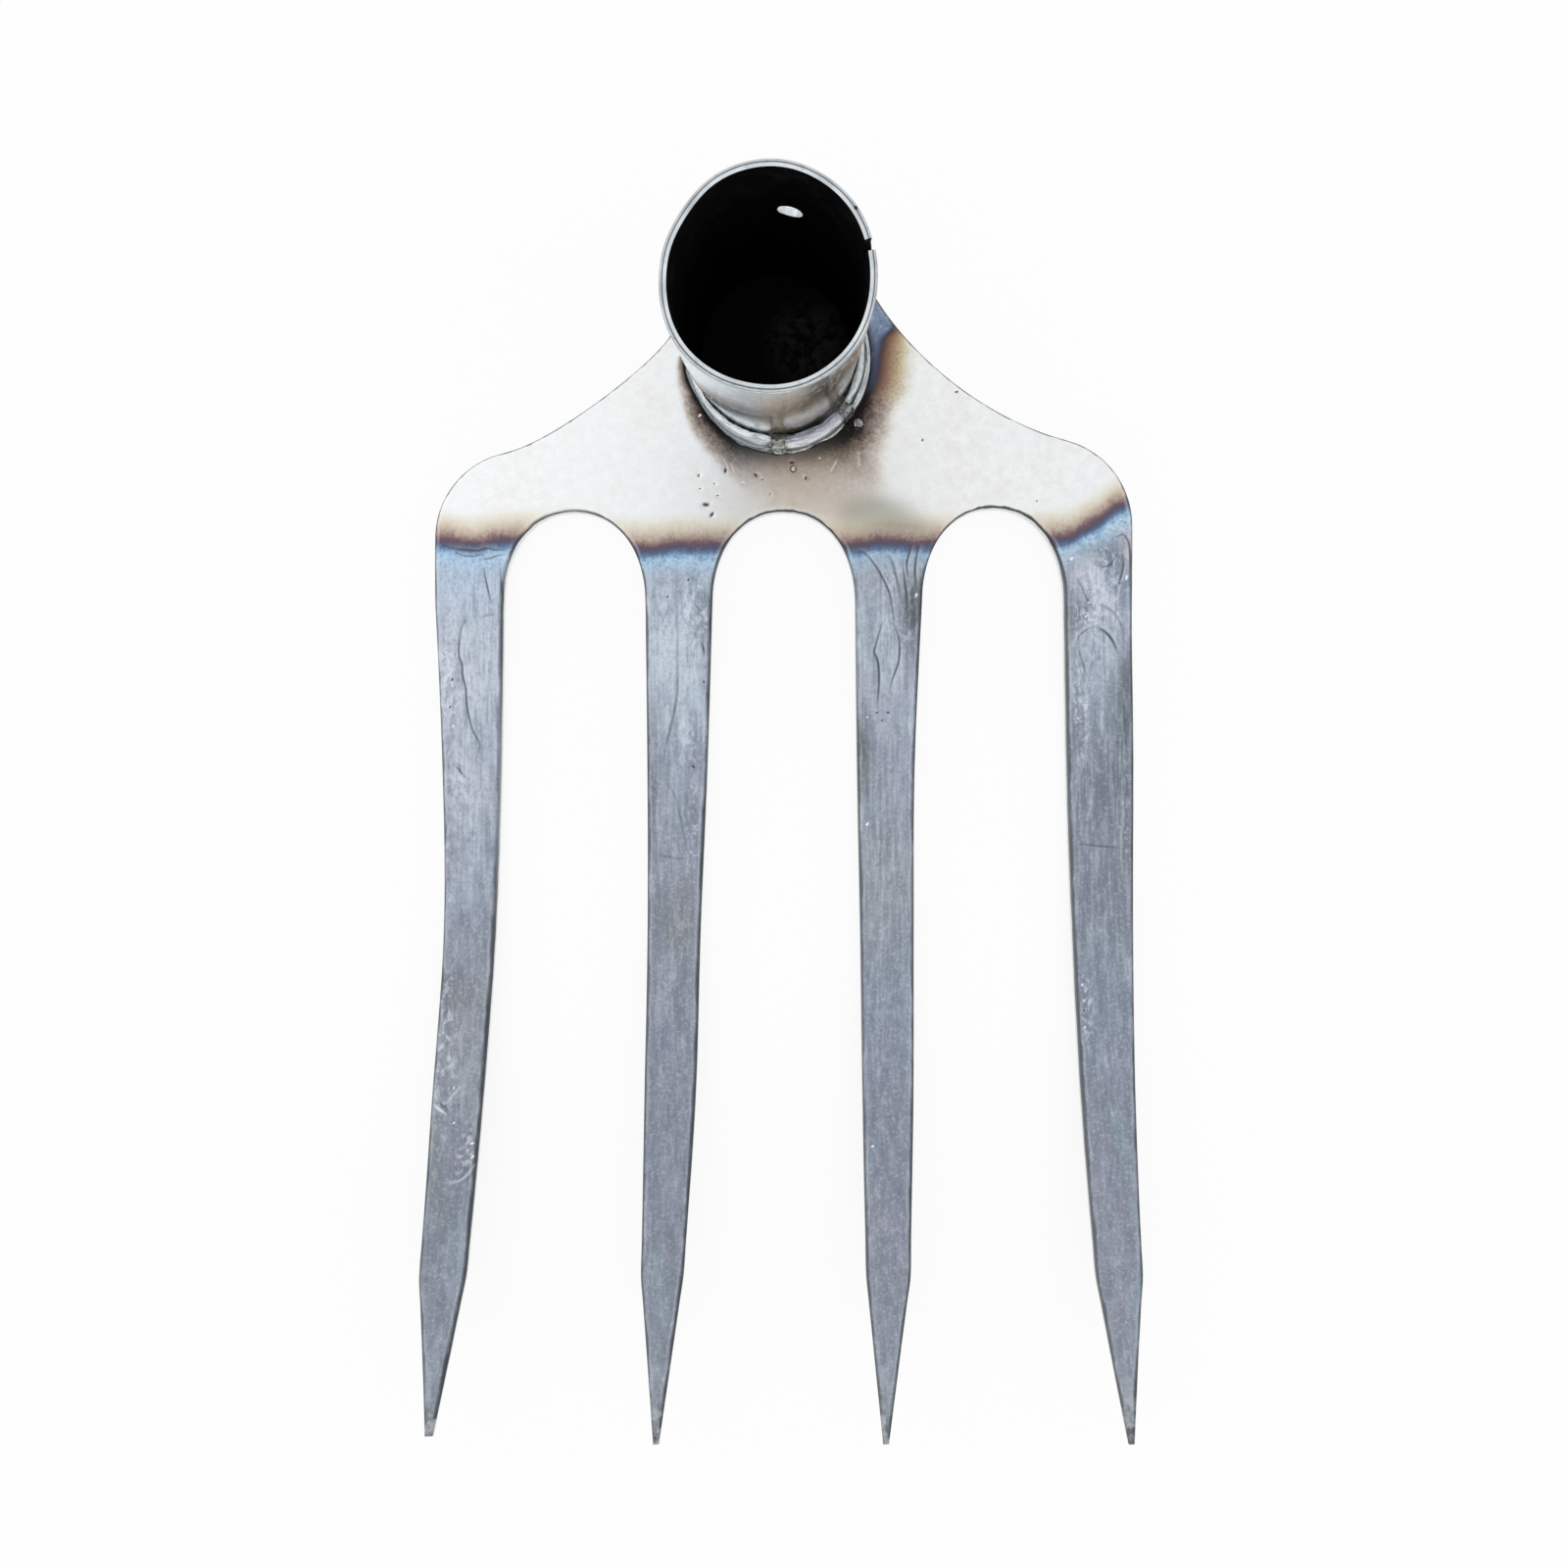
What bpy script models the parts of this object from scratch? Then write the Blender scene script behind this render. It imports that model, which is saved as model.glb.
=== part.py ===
# Head of a four-tined tilling rake: one steel plate whose lower half is drawn out into four pointed
# tines, a rolled socket tube for the handle that stands on the plate near its peak, and the runs of
# weld around the tube's foot.
#
# Metres, +Z up. The head lies on its back: Z = 0 is the plate's back face, +X is to the right and
# the tines point along -Y. The origin is on the back face, on the plate's centre line, level with
# the middle of the tube's foot.

import math

import bmesh
import bpy
from mathutils import Matrix, Vector

MM = 0.001

# Clearance between pieces that touch on the real tool
GAP = 0.3 * MM

# Plate and the roots of the tines
PLATE_THICKNESS = 4.0 * MM
EDGE_BREAK = 0.5 * MM
TINE_PITCH = 49.8 * MM
TINE_ROOT_WIDTH = 15.8 * MM
ARCH_HEIGHTS = (22.0 * MM, 22.0 * MM, 22.9 * MM)
ARCH_SQUARENESS = 2.15
ARCH_SPRING_Y = -59.0 * MM
SHOULDER_RADIUS = 20.8 * MM
PEAK_X = -0.8 * MM
PEAK_LIP = 1.6 * MM

# The two flanks between the rounded peak and the rounded shoulders. Angles are on the peak's and the
# shoulder's arcs, from level. The handles say how far each end of the flank keeps its direction.
FLANKS = {
    "right": {
        "peak_angle": 32.0,
        "peak_handle": 20.0 * MM,
        "shoulder_handle": 17.7 * MM,
        "shoulder_angle": 75.2,
        "shoulder_y": -40.4 * MM,
    },
    "left": {
        "peak_angle": 12.0,
        "peak_handle": 5.0 * MM,
        "shoulder_handle": 12.6 * MM,
        "shoulder_angle": 77.6,
        "shoulder_y": -43.6 * MM,
    },
}

# Tines, from left to right: a shank that narrows down to a shoulder, and a point. Each tine was
# drawn by hand, so its width and its drift to the side are given at each quarter of the shank, and
# its drift and its shortfall at the tip.
SHANK_LENGTH = 155.0 * MM
POINT_LENGTH = 34.0 * MM
TIP_WIDTH = 1.3 * MM
SHANK_THICKNESS = 3.4 * MM
TIP_THICKNESS = 1.3 * MM
TINES = (
    {
        "widths": (13.7 * MM, 12.0 * MM, 11.7 * MM, 10.5 * MM),
        "drifts": (0.5 * MM, 0.2 * MM, -1.6 * MM, -3.1 * MM),
        "tip_drift": -4.1 * MM,
        "tip_short": 1.6 * MM,
    },
    {
        "widths": (14.2 * MM, 12.5 * MM, 11.9 * MM, 9.6 * MM),
        "drifts": (-0.4 * MM, -1.1 * MM, -1.7 * MM, -2.8 * MM),
        "tip_drift": -3.4 * MM,
        "tip_short": 0.0,
    },
    {
        "widths": (13.7 * MM, 12.7 * MM, 11.9 * MM, 10.1 * MM),
        "drifts": (-0.6 * MM, -0.4 * MM, -0.5 * MM, -1.0 * MM),
        "tip_drift": -2.2 * MM,
        "tip_short": 0.0,
    },
    {
        "widths": (15.7 * MM, 14.3 * MM, 12.6 * MM, 10.6 * MM),
        "drifts": (0.6 * MM, 1.0 * MM, 1.3 * MM, 1.9 * MM),
        "tip_drift": 2.4 * MM,
        "tip_short": 0.0,
    },
)

# The tines lie flat for this far below their roots and then curve up on one radius
FLAT_RUN = 47.0 * MM
TINE_BEND_RADIUS = 505.0 * MM

# Socket tube: it stands on the plate's front face and leans towards the tines
SOCKET_DIAMETER = 37.6 * MM
SOCKET_WALL = 1.3 * MM
SOCKET_LENGTH = 77.0 * MM
SOCKET_X = -1.9 * MM
SOCKET_LEAN_ANGLE = 11.3
SOCKET_SIDE_LEAN_ANGLE = 0.4
RIM_BREAK = 0.3 * MM
HOLE_DIAMETER = 5.2 * MM
HOLE_BELOW_RIM = 23.9 * MM
HOLE_ANGLE = 78.3
SEAM_ANGLE = 17.0
SEAM_WIDTH = 0.5 * MM
SEAM_NOTCH_WIDTH = 2.2 * MM
SEAM_NOTCH_DEPTH = 4.0 * MM

# Weld around the socket's foot. Angles are seen from above, from +X towards +Y. Crowns, the swell
# of a stop and the thinning at a run's ends are shares of the leg.
WELD_LEG = 4.5 * MM
WELD_CROWN = 0.12
PASS_CROWN = 0.16
STOP_SWELL = 0.22
RUN_THINNING = 0.12
LEFT_START_ANGLE = 172.0
FRONT_STOP_ANGLE = 267.0
RIGHT_STOP_ANGLE = 316.0
STOP_SPAN_ANGLE = 9.0
RIGHT_END_ANGLE = 405.0

# Balls of spatter stuck to the plate: angle, distance from the weld's toe, diameter. Their flat
# foot is this share of the radius below the middle.
SPATTER = (
    {"name": "spatter_front", "angle": -81.0, "off_toe": 3.4 * MM, "diameter": 1.4 * MM},
    {"name": "spatter_right", "angle": -39.8, "off_toe": 1.8 * MM, "diameter": 2.4 * MM},
)
SPATTER_FLAT = 0.6

# Fineness of the faceted shapes
ARC_STEP_ANGLE = 9.0
FLANK_STEPS = 12
TUBE_SIDES = 64
HOLE_SIDES = 20
SHANK_ROWS = 20
POINT_ROWS = 6
WELD_STEP_ANGLE = 5.0
WELD_FACE_POINTS = 6

FRONT = PLATE_THICKNESS
SOCKET_RADIUS = SOCKET_DIAMETER / 2
BORE_RADIUS = SOCKET_RADIUS - SOCKET_WALL
ARCH_WIDTH = TINE_PITCH - TINE_ROOT_WIDTH
HALF_WIDTH = (len(TINES) - 1) / 2 * TINE_PITCH + TINE_ROOT_WIDTH / 2
SHOULDER_Y = ARCH_SPRING_Y - SHANK_LENGTH
BEND_Y = ARCH_SPRING_Y - FLAT_RUN
PEAK_RADIUS = SOCKET_RADIUS + GAP + WELD_LEG + abs(SOCKET_X - PEAK_X) + PEAK_LIP


def socket_axes():
    """The tube's foot and its three directions: across, towards the peak, and along the tube."""
    foot = Vector((SOCKET_X, 0, FRONT))
    along = Vector(
        (
            -math.tan(math.radians(SOCKET_SIDE_LEAN_ANGLE)),
            -math.tan(math.radians(SOCKET_LEAN_ANGLE)),
            1,
        )
    ).normalized()
    across = Vector((0, 1, 0)).cross(along).normalized()
    return foot, across, along.cross(across), along


def on_tube(angle, radius, height):
    """The point of a tube of this radius at an angle round it, at a height above the plate's front."""
    foot, across, back, along = socket_axes()
    turn = math.radians(angle)
    side = foot + radius * (math.cos(turn) * across + math.sin(turn) * back)
    return side + along * ((FRONT + height - side.z) / along.z)


def collection(name):
    made = bpy.data.collections.new(name)
    bpy.context.scene.collection.children.link(made)
    return made


def material(name, color, roughness, metallic=1.0):
    made = bpy.data.materials.new(name)
    made.use_nodes = True
    made.diffuse_color = (*color, 1)
    shader = made.node_tree.nodes["Principled BSDF"]
    shader.inputs["Base Color"].default_value = (*color, 1)
    shader.inputs["Roughness"].default_value = roughness
    shader.inputs["Metallic"].default_value = metallic
    return made


def add_object(name, mesh, group, finish=None):
    made = bpy.data.objects.new(name, mesh)
    group.objects.link(made)
    if finish:
        mesh.materials.append(finish)
    return made


def add_cutter(name, mesh, group):
    made = add_object(name, mesh, group)
    made.hide_render = True
    made.display_type = "WIRE"
    return made


def cut(target, cutter):
    boolean = target.modifiers.new(cutter.name, "BOOLEAN")
    boolean.operation = "DIFFERENCE"
    boolean.solver = "EXACT"
    boolean.object = cutter


def shade(mesh, sharp_above=40):
    mesh.shade_smooth()
    mesh.set_sharp_from_angle(angle=math.radians(sharp_above))


def arc(center, radius, start, end):
    """Points along an arc, from the start angle to the end angle in degrees."""
    steps = max(2, round(abs(end - start) / ARC_STEP_ANGLE))
    turns = [math.radians(start + (end - start) * i / steps) for i in range(steps + 1)]
    return [(center[0] + radius * math.cos(t), center[1] + radius * math.sin(t)) for t in turns]


def bezier(corners, steps):
    """Points strictly between the ends of a cubic curve."""
    points = []
    for i in range(1, steps):
        t = i / steps
        s = 1 - t
        weights = (s**3, 3 * s * s * t, 3 * s * t * t, t**3)
        points.append(tuple(sum(w * p[k] for w, p in zip(weights, corners)) for k in range(2)))
    return points


def flank(side):
    """The plate's edge from the peak to the outer tine's root, drawn on the right-hand side."""
    f = FLANKS[side]
    peak_x = PEAK_X if side == "right" else -PEAK_X
    center = (HALF_WIDTH - SHOULDER_RADIUS, f["shoulder_y"])
    shoulder = arc(center, SHOULDER_RADIUS, f["shoulder_angle"], 0)
    peak = arc((peak_x, 0), PEAK_RADIUS, 90, f["peak_angle"])
    a, b = math.radians(f["peak_angle"]), math.radians(f["shoulder_angle"])
    start, end = peak[-1], shoulder[0]
    near = (
        start[0] + f["peak_handle"] * math.sin(a),
        start[1] - f["peak_handle"] * math.cos(a),
    )
    far = (
        end[0] - f["shoulder_handle"] * math.sin(b),
        end[1] + f["shoulder_handle"] * math.cos(b),
    )
    return peak + bezier((start, near, far, end), FLANK_STEPS) + shoulder


def blend(values, t):
    """A smooth curve through evenly spaced values, read at t from 0 to 1."""
    last = len(values) - 1
    i = min(int(t * last), last - 1)
    u = t * last - i
    slopes = [
        (values[min(k + 1, last)] - values[max(k - 1, 0)]) / (min(k + 1, last) - max(k - 1, 0))
        for k in (i, i + 1)
    ]
    a, b = values[i], values[i + 1]
    return (
        (2 * u**3 - 3 * u**2 + 1) * a
        + (u**3 - 2 * u**2 + u) * slopes[0]
        + (3 * u**2 - 2 * u**3) * b
        + (u**3 - u**2) * slopes[1]
    )


def row_heights():
    """Y of each row across the tines, from the arches' spring line to the tips."""
    shank = [ARCH_SPRING_Y - SHANK_LENGTH * i / SHANK_ROWS for i in range(SHANK_ROWS)]
    return shank + [SHOULDER_Y - POINT_LENGTH * i / POINT_ROWS for i in range(POINT_ROWS + 1)]


def tine_section(index, y):
    """Middle and width of a tine at this Y."""
    tine = TINES[index]
    root = (index - (len(TINES) - 1) / 2) * TINE_PITCH
    if y >= SHOULDER_Y:
        t = (ARCH_SPRING_Y - y) / SHANK_LENGTH
        drift = blend((0, *tine["drifts"]), t)
        return root + drift, blend((TINE_ROOT_WIDTH, *tine["widths"]), t)
    t = (SHOULDER_Y - y) / POINT_LENGTH
    drift = tine["drifts"][-1] * (1 - t) + tine["tip_drift"] * t
    return root + drift, tine["widths"][-1] * (1 - t) + TIP_WIDTH * t


def tine_side(index, side):
    """One edge of a tine from its root to its tip: side is -1 for the left edge and 1 for the right."""
    heights = row_heights()
    heights[-1] += TINES[index]["tip_short"]
    points = []
    for y in heights:
        middle, width = tine_section(index, y)
        points.append((middle + side * width / 2, y))
    return points


def arch(index):
    """The rounded top of the gap to the right of a tine, from right to left, without its ends."""
    middle = (index + 1 - len(TINES) / 2) * TINE_PITCH
    height = ARCH_HEIGHTS[index]
    steps = round(180 / ARC_STEP_ANGLE)
    points = []
    for i in range(1, steps):
        turn = math.pi * i / steps
        c, s = math.cos(turn), math.sin(turn)
        power = 2 / ARCH_SQUARENESS
        x = middle + ARCH_WIDTH / 2 * math.copysign(abs(c) ** power, c)
        points.append((x, ARCH_SPRING_Y + height * s**power))
    return points


def plate_outline():
    """The plate's edge, clockwise from the top of its peak."""
    points = flank("right")
    for index in reversed(range(len(TINES))):
        points += tine_side(index, 1)
        points += reversed(tine_side(index, -1))
        if index > 0:
            points += arch(index - 1)
    left = [(-x, y) for x, y in flank("left")]
    return points + list(reversed(left))[:-1]


def plate_rise(y):
    """How far the tines' back face has curved up at this Y."""
    reach = max(0.0, BEND_Y - y)
    return TINE_BEND_RADIUS - math.sqrt(TINE_BEND_RADIUS**2 - reach**2)


def plate_thickness(y):
    """The plate's thickness, which is drawn down along the shank and again along the point."""
    if y >= ARCH_SPRING_Y:
        return PLATE_THICKNESS
    if y >= SHOULDER_Y:
        t = (ARCH_SPRING_Y - y) / SHANK_LENGTH
        return PLATE_THICKNESS * (1 - t) + SHANK_THICKNESS * t
    t = (SHOULDER_Y - y) / POINT_LENGTH
    return SHANK_THICKNESS * (1 - t) + TIP_THICKNESS * t


def build_tine_plate(group, finish):
    """The flat blank with broken edges, cut into rows, then drawn thinner and bent along the tines."""
    outline = plate_outline()
    curve = bpy.data.curves.new("tine_plate_outline", "CURVE")
    curve.dimensions = "2D"
    curve.fill_mode = "BOTH"
    curve.extrude = PLATE_THICKNESS / 2 - EDGE_BREAK
    curve.bevel_depth = EDGE_BREAK
    curve.bevel_resolution = 0
    curve.offset = -EDGE_BREAK
    spline = curve.splines.new("POLY")
    spline.points.add(len(outline) - 1)
    for point, (x, y) in zip(spline.points, outline):
        point.co = (x, y, 0, 1)
    spline.use_cyclic_u = True
    blank = bpy.data.objects.new("tine_plate_blank", curve)
    group.objects.link(blank)
    depsgraph = bpy.context.evaluated_depsgraph_get()
    mesh = bpy.data.meshes.new_from_object(blank.evaluated_get(depsgraph))
    bpy.data.objects.remove(blank)
    mesh.name = "tine_plate"
    mesh.materials.clear()

    bm = bmesh.new()
    bm.from_mesh(mesh)
    bmesh.ops.remove_doubles(bm, verts=bm.verts, dist=0.001 * MM)
    for y in row_heights():
        bmesh.ops.bisect_plane(
            bm,
            geom=[*bm.verts, *bm.edges, *bm.faces],
            dist=0.001 * MM,
            plane_co=(0, y, 0),
            plane_no=(0, 1, 0),
        )
    for v in bm.verts:
        share = v.co.z / PLATE_THICKNESS + 0.5
        v.co.z = plate_rise(v.co.y) + share * plate_thickness(v.co.y)
    bmesh.ops.recalc_face_normals(bm, faces=bm.faces)
    bm.to_mesh(mesh)
    bm.free()
    shade(mesh)
    return add_object("tine_plate", mesh, group, finish)


def box_mesh(name, size):
    bm = bmesh.new()
    bmesh.ops.create_cube(bm, size=1)
    bmesh.ops.scale(bm, verts=bm.verts, vec=size)
    mesh = bpy.data.meshes.new(name)
    bm.to_mesh(mesh)
    bm.free()
    return mesh


def build_socket_tube(group, cutters, finish):
    """A tube on its own leaning axis, trimmed to the plate, with its screw hole and open seam."""
    foot, across, back, along = socket_axes()
    overrun = SOCKET_DIAMETER / 2
    profile = (
        (SOCKET_RADIUS - RIM_BREAK, SOCKET_LENGTH),
        (SOCKET_RADIUS, SOCKET_LENGTH - RIM_BREAK),
        (SOCKET_RADIUS, -overrun),
        (BORE_RADIUS, -overrun),
        (BORE_RADIUS, SOCKET_LENGTH),
    )
    mesh = bpy.data.meshes.new("socket_tube")
    bm = bmesh.new()
    ring = [bm.verts.new((x, 0, z)) for x, z in profile]
    for i, v in enumerate(ring):
        bm.edges.new((v, ring[(i + 1) % len(ring)]))
    bm.to_mesh(mesh)
    bm.free()
    tube = add_object("socket_tube", mesh, group, finish)
    screw = tube.modifiers.new("turn", "SCREW")
    screw.steps = TUBE_SIDES
    screw.render_steps = TUBE_SIDES
    screw.use_merge_vertices = True
    screw.merge_threshold = 0.01 * MM
    screw.use_smooth_shade = True
    lean = Matrix((across, back, along)).transposed().to_4x4()
    tube.matrix_world = Matrix.Translation(foot) @ lean

    block = 2 * SOCKET_DIAMETER
    trim_mesh = box_mesh("socket_foot_trim", (block, block, block))
    trim = add_cutter("socket_foot_trim", trim_mesh, cutters)
    trim.location = (SOCKET_X, 0, FRONT + GAP - block / 2)
    cut(tube, trim)

    bm = bmesh.new()
    bmesh.ops.create_cone(
        bm,
        cap_ends=True,
        segments=HOLE_SIDES,
        radius1=HOLE_DIAMETER / 2,
        radius2=HOLE_DIAMETER / 2,
        depth=SOCKET_RADIUS,
    )
    drill_mesh = bpy.data.meshes.new("screw_hole_drill")
    bm.to_mesh(drill_mesh)
    bm.free()
    drill = add_cutter("screw_hole_drill", drill_mesh, cutters)
    outward = Matrix.Rotation(math.radians(HOLE_ANGLE), 4, "Z")
    drill.matrix_world = (
        Matrix.Translation(foot)
        @ lean
        @ Matrix.Translation((0, 0, SOCKET_LENGTH - HOLE_BELOW_RIM))
        @ outward
        @ Matrix.Translation((SOCKET_RADIUS, 0, 0))
        @ Matrix.Rotation(math.pi / 2, 4, "Y")
    )
    cut(tube, drill)

    # the rolled sheet's two edges meet in an open seam, which widens to a notch at the rim
    at_seam = (
        Matrix.Translation(foot)
        @ lean
        @ Matrix.Rotation(math.radians(SEAM_ANGLE), 4, "Z")
        @ Matrix.Translation((SOCKET_RADIUS, 0, SOCKET_LENGTH))
    )
    sizes = {
        "seam_slit": (SOCKET_RADIUS, SEAM_WIDTH, 2 * (SOCKET_LENGTH + overrun)),
        "seam_notch": (SOCKET_RADIUS, SEAM_NOTCH_WIDTH, 2 * SEAM_NOTCH_DEPTH),
    }
    for name, size in sizes.items():
        cutter = add_cutter(name, box_mesh(name, size), cutters)
        cutter.matrix_world = at_seam
        cut(tube, cutter)
    return tube


def fillet_section(angle, size, low, high, crown, leg):
    """The fillet's section at an angle round the tube, between two slopes of its face in degrees.

    The corner where tube and plate meet is the apex. A pass that leaves its neighbour room starts
    half a clearance away from the shared line.
    """
    points = []
    low_room = GAP / 2 if low > 0 else 0
    high_room = GAP / 2 if high < 90 else 0
    middle = math.radians((low + high) / 2)
    room = max(low_room, high_room)
    apex = room / math.sin(math.radians((high - low) / 2)) if room else 0
    points.append((apex * math.cos(middle), apex * math.sin(middle)))
    for i in range(WELD_FACE_POINTS):
        t = i / (WELD_FACE_POINTS - 1)
        slope = math.radians(low + (high - low) * t)
        reach = size * leg / (math.cos(slope) + math.sin(slope))
        reach *= 1 + WELD_CROWN * math.sin(2 * slope) + crown * math.sin(math.pi * t)
        if low_room:
            slope += math.asin(low_room / reach) * (1 - t)
        if high_room:
            slope -= math.asin(high_room / reach) * t
        points.append((reach * math.cos(slope), reach * math.sin(slope)))
    placed = []
    for out, up in points:
        height = GAP + up
        placed.append(on_tube(angle, SOCKET_RADIUS + GAP + out, height))
    return placed


def build_weld(name, start, end, group, finish, low=0.0, high=90.0, crown=0.0, swell=0.0):
    """A run of fillet weld round the foot: sections lofted from the start angle to the end angle."""
    ease = math.degrees(GAP / 2 / SOCKET_RADIUS)
    first, last = start + ease, end - ease
    steps = max(3, round((last - first) / WELD_STEP_ANGLE))
    bm = bmesh.new()
    rings = []
    for i in range(steps + 1):
        t = i / steps
        # each run thins out over its last few millimetres, and a stop swells instead
        if swell:
            size = 1 + swell * math.sin(math.pi * t)
        else:
            size = 1 - RUN_THINNING * (2 * t - 1) ** 6
        section = fillet_section(first + (last - first) * t, size, low, high, crown, WELD_LEG)
        rings.append([bm.verts.new(p) for p in section])
    for a, b in zip(rings, rings[1:]):
        for k in range(len(a)):
            n = (k + 1) % len(a)
            bm.faces.new((a[k], a[n], b[n], b[k]))
    bm.faces.new(rings[0])
    bm.faces.new(rings[-1])
    bmesh.ops.recalc_face_normals(bm, faces=bm.faces)
    mesh = bpy.data.meshes.new(name)
    bm.to_mesh(mesh)
    bm.free()
    shade(mesh)
    return add_object(name, mesh, group, finish)


def build_spatter(ball, group, finish):
    """A ball of spatter, flattened where it struck the plate."""
    radius = ball["diameter"] / 2
    toe = on_tube(ball["angle"], SOCKET_RADIUS + GAP + WELD_LEG + ball["off_toe"], 0)
    flat = -SPATTER_FLAT * radius
    bm = bmesh.new()
    bmesh.ops.create_icosphere(bm, subdivisions=2, radius=radius)
    bmesh.ops.bisect_plane(
        bm,
        geom=[*bm.verts, *bm.edges, *bm.faces],
        plane_co=(0, 0, flat),
        plane_no=(0, 0, -1),
        clear_outer=True,
    )
    bmesh.ops.holes_fill(bm, edges=bm.edges)
    bmesh.ops.recalc_face_normals(bm, faces=bm.faces)
    mesh = bpy.data.meshes.new(ball["name"])
    bm.to_mesh(mesh)
    bm.free()
    shade(mesh)
    made = add_object(ball["name"], mesh, group, finish)
    made.location = (toe.x, toe.y, FRONT + GAP - flat)
    return made


def build_welds(group, finish):
    """The runs in the order of their angles, with a swollen stop where one run was taken up again."""
    front = (FRONT_STOP_ANGLE, FRONT_STOP_ANGLE + STOP_SPAN_ANGLE)
    right = (RIGHT_STOP_ANGLE, RIGHT_STOP_ANGLE + STOP_SPAN_ANGLE)
    passes = (right[1], RIGHT_END_ANGLE)
    build_weld("weld_left", LEFT_START_ANGLE, front[0], group, finish)
    build_weld("weld_stop_front", *front, group, finish, swell=STOP_SWELL)
    build_weld("weld_front", front[1], right[0], group, finish)
    build_weld("weld_stop_right", *right, group, finish, swell=STOP_SWELL)
    build_weld("weld_right_outer", *passes, group, finish, high=45, crown=PASS_CROWN)
    build_weld("weld_right_inner", *passes, group, finish, low=45, crown=PASS_CROWN)
    build_weld("weld_rear", RIGHT_END_ANGLE, LEFT_START_ANGLE + 360, group, finish)


def main():
    for old in list(bpy.data.objects):
        bpy.data.objects.remove(old)
    parts = collection("tilling_rake_head")
    cutters = collection("cutters")
    plate_steel = material("ground_plate_steel", (0.52, 0.52, 0.53), 0.42)
    tube_steel = material("rolled_tube_steel", (0.50, 0.50, 0.50), 0.32)
    weld_metal = material("weld_metal", (0.40, 0.40, 0.40), 0.36)
    build_tine_plate(parts, plate_steel)
    build_socket_tube(parts, cutters, tube_steel)
    build_welds(parts, weld_metal)
    for ball in SPATTER:
        build_spatter(ball, parts, weld_metal)
    # the cutters are read through their world matrices
    bpy.context.view_layer.update()


main()
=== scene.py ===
import math
from functools import partial

import bmesh
import bpy
import numpy as np
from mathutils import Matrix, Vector, kdtree, noise
from mathutils.geometry import delaunay_2d_cdt


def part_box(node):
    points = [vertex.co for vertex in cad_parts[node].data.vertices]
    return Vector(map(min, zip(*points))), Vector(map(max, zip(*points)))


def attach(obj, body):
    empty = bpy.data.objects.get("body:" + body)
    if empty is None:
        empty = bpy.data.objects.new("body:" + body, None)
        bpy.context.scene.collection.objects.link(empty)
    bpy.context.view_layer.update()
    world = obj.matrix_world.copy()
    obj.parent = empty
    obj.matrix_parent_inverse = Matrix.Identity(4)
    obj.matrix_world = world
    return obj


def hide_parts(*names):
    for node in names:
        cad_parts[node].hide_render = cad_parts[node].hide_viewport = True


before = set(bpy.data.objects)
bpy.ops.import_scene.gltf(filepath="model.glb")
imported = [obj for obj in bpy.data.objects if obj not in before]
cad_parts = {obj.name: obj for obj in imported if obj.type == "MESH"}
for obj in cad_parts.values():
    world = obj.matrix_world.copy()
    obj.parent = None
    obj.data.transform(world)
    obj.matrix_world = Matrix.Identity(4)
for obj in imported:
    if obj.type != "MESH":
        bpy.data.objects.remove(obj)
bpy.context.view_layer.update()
print("frame loaded")

mm = 0.001
mixFactor, mixA, mixB, mixColor = 0, 6, 7, 2  # sockets of a colour Mix node


def linear(hexColor):
    values = [int(hexColor[i:i + 2], 16) / 255 for i in (1, 3, 5)]
    return (*(v / 12.92 if v <= 0.04045 else ((v + 0.055) / 1.055) ** 2.4 for v in values), 1)


def addNode(tree, kind, inputs=(), out=0, stops=None, points=None, **settings):
    node = tree.nodes.new("ShaderNode" + kind)
    for name, value in settings.items():
        setattr(node, name, value)
    if stops:  # a colour ramp's (place, colour) pairs
        ramp = node.color_ramp.elements
        while len(ramp) < len(stops):
            ramp.new(0.5)
        for element, (place, hexColor) in zip(ramp, stops):
            element.position = place
        for element, (place, hexColor) in zip(ramp, stops):
            element.color = linear(hexColor)
    if points:  # a float curve's (place, height) pairs
        curve = node.mapping.curves[0]
        while len(curve.points) < len(points):
            curve.points.new(0.5, 0.5)
        for point, place in zip(curve.points, points):
            point.location = place
        node.mapping.update()
    pairs = inputs.items() if isinstance(inputs, dict) else enumerate(inputs)
    for socket, value in pairs:
        if isinstance(value, list):  # a pattern, two of its values, and what each becomes
            value = addNode(tree, "MapRange", value)
        elif isinstance(value, str):
            value = linear(value)
        if isinstance(value, bpy.types.NodeSocket):
            tree.links.new(value, node.inputs[socket])
        else:
            node.inputs[socket].default_value = value
    return node.outputs[out]


def newMaterial(name):
    made = bpy.data.materials.new(name)
    made.use_nodes = True
    add = partial(addNode, made.node_tree)
    return add, partial(paintOver, add), partial(finishSurface, made)


def paintOver(add, color, *layers):
    # lays more colours over one in turn; each stands after the factors of its share
    for share, *factors, over in layers:
        for factor in factors:
            share = add("Math", [share, factor], operation="MULTIPLY")
        color = add("Mix", {mixFactor: share, mixA: color, mixB: over}, mixColor, data_type="RGBA")
    return color


def finishSurface(made, **links):
    # links are named by the shader's sockets, with _ for each space
    tree = made.node_tree
    for name, value in links.items():
        socket = tree.nodes["Principled BSDF"].inputs[name.replace("_", " ")]
        if isinstance(value, bpy.types.NodeSocket):
            tree.links.new(value, socket)
        else:
            socket.default_value = value
    return made


def smoothStep(low, high, value):
    t = np.clip((value - low) / (high - low), 0, 1)
    return t * t * (3 - 2 * t)


def wobble(x, y, z=0.0):
    return noise.noise(Vector((x, y, z)))  # about -1 to 1


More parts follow.
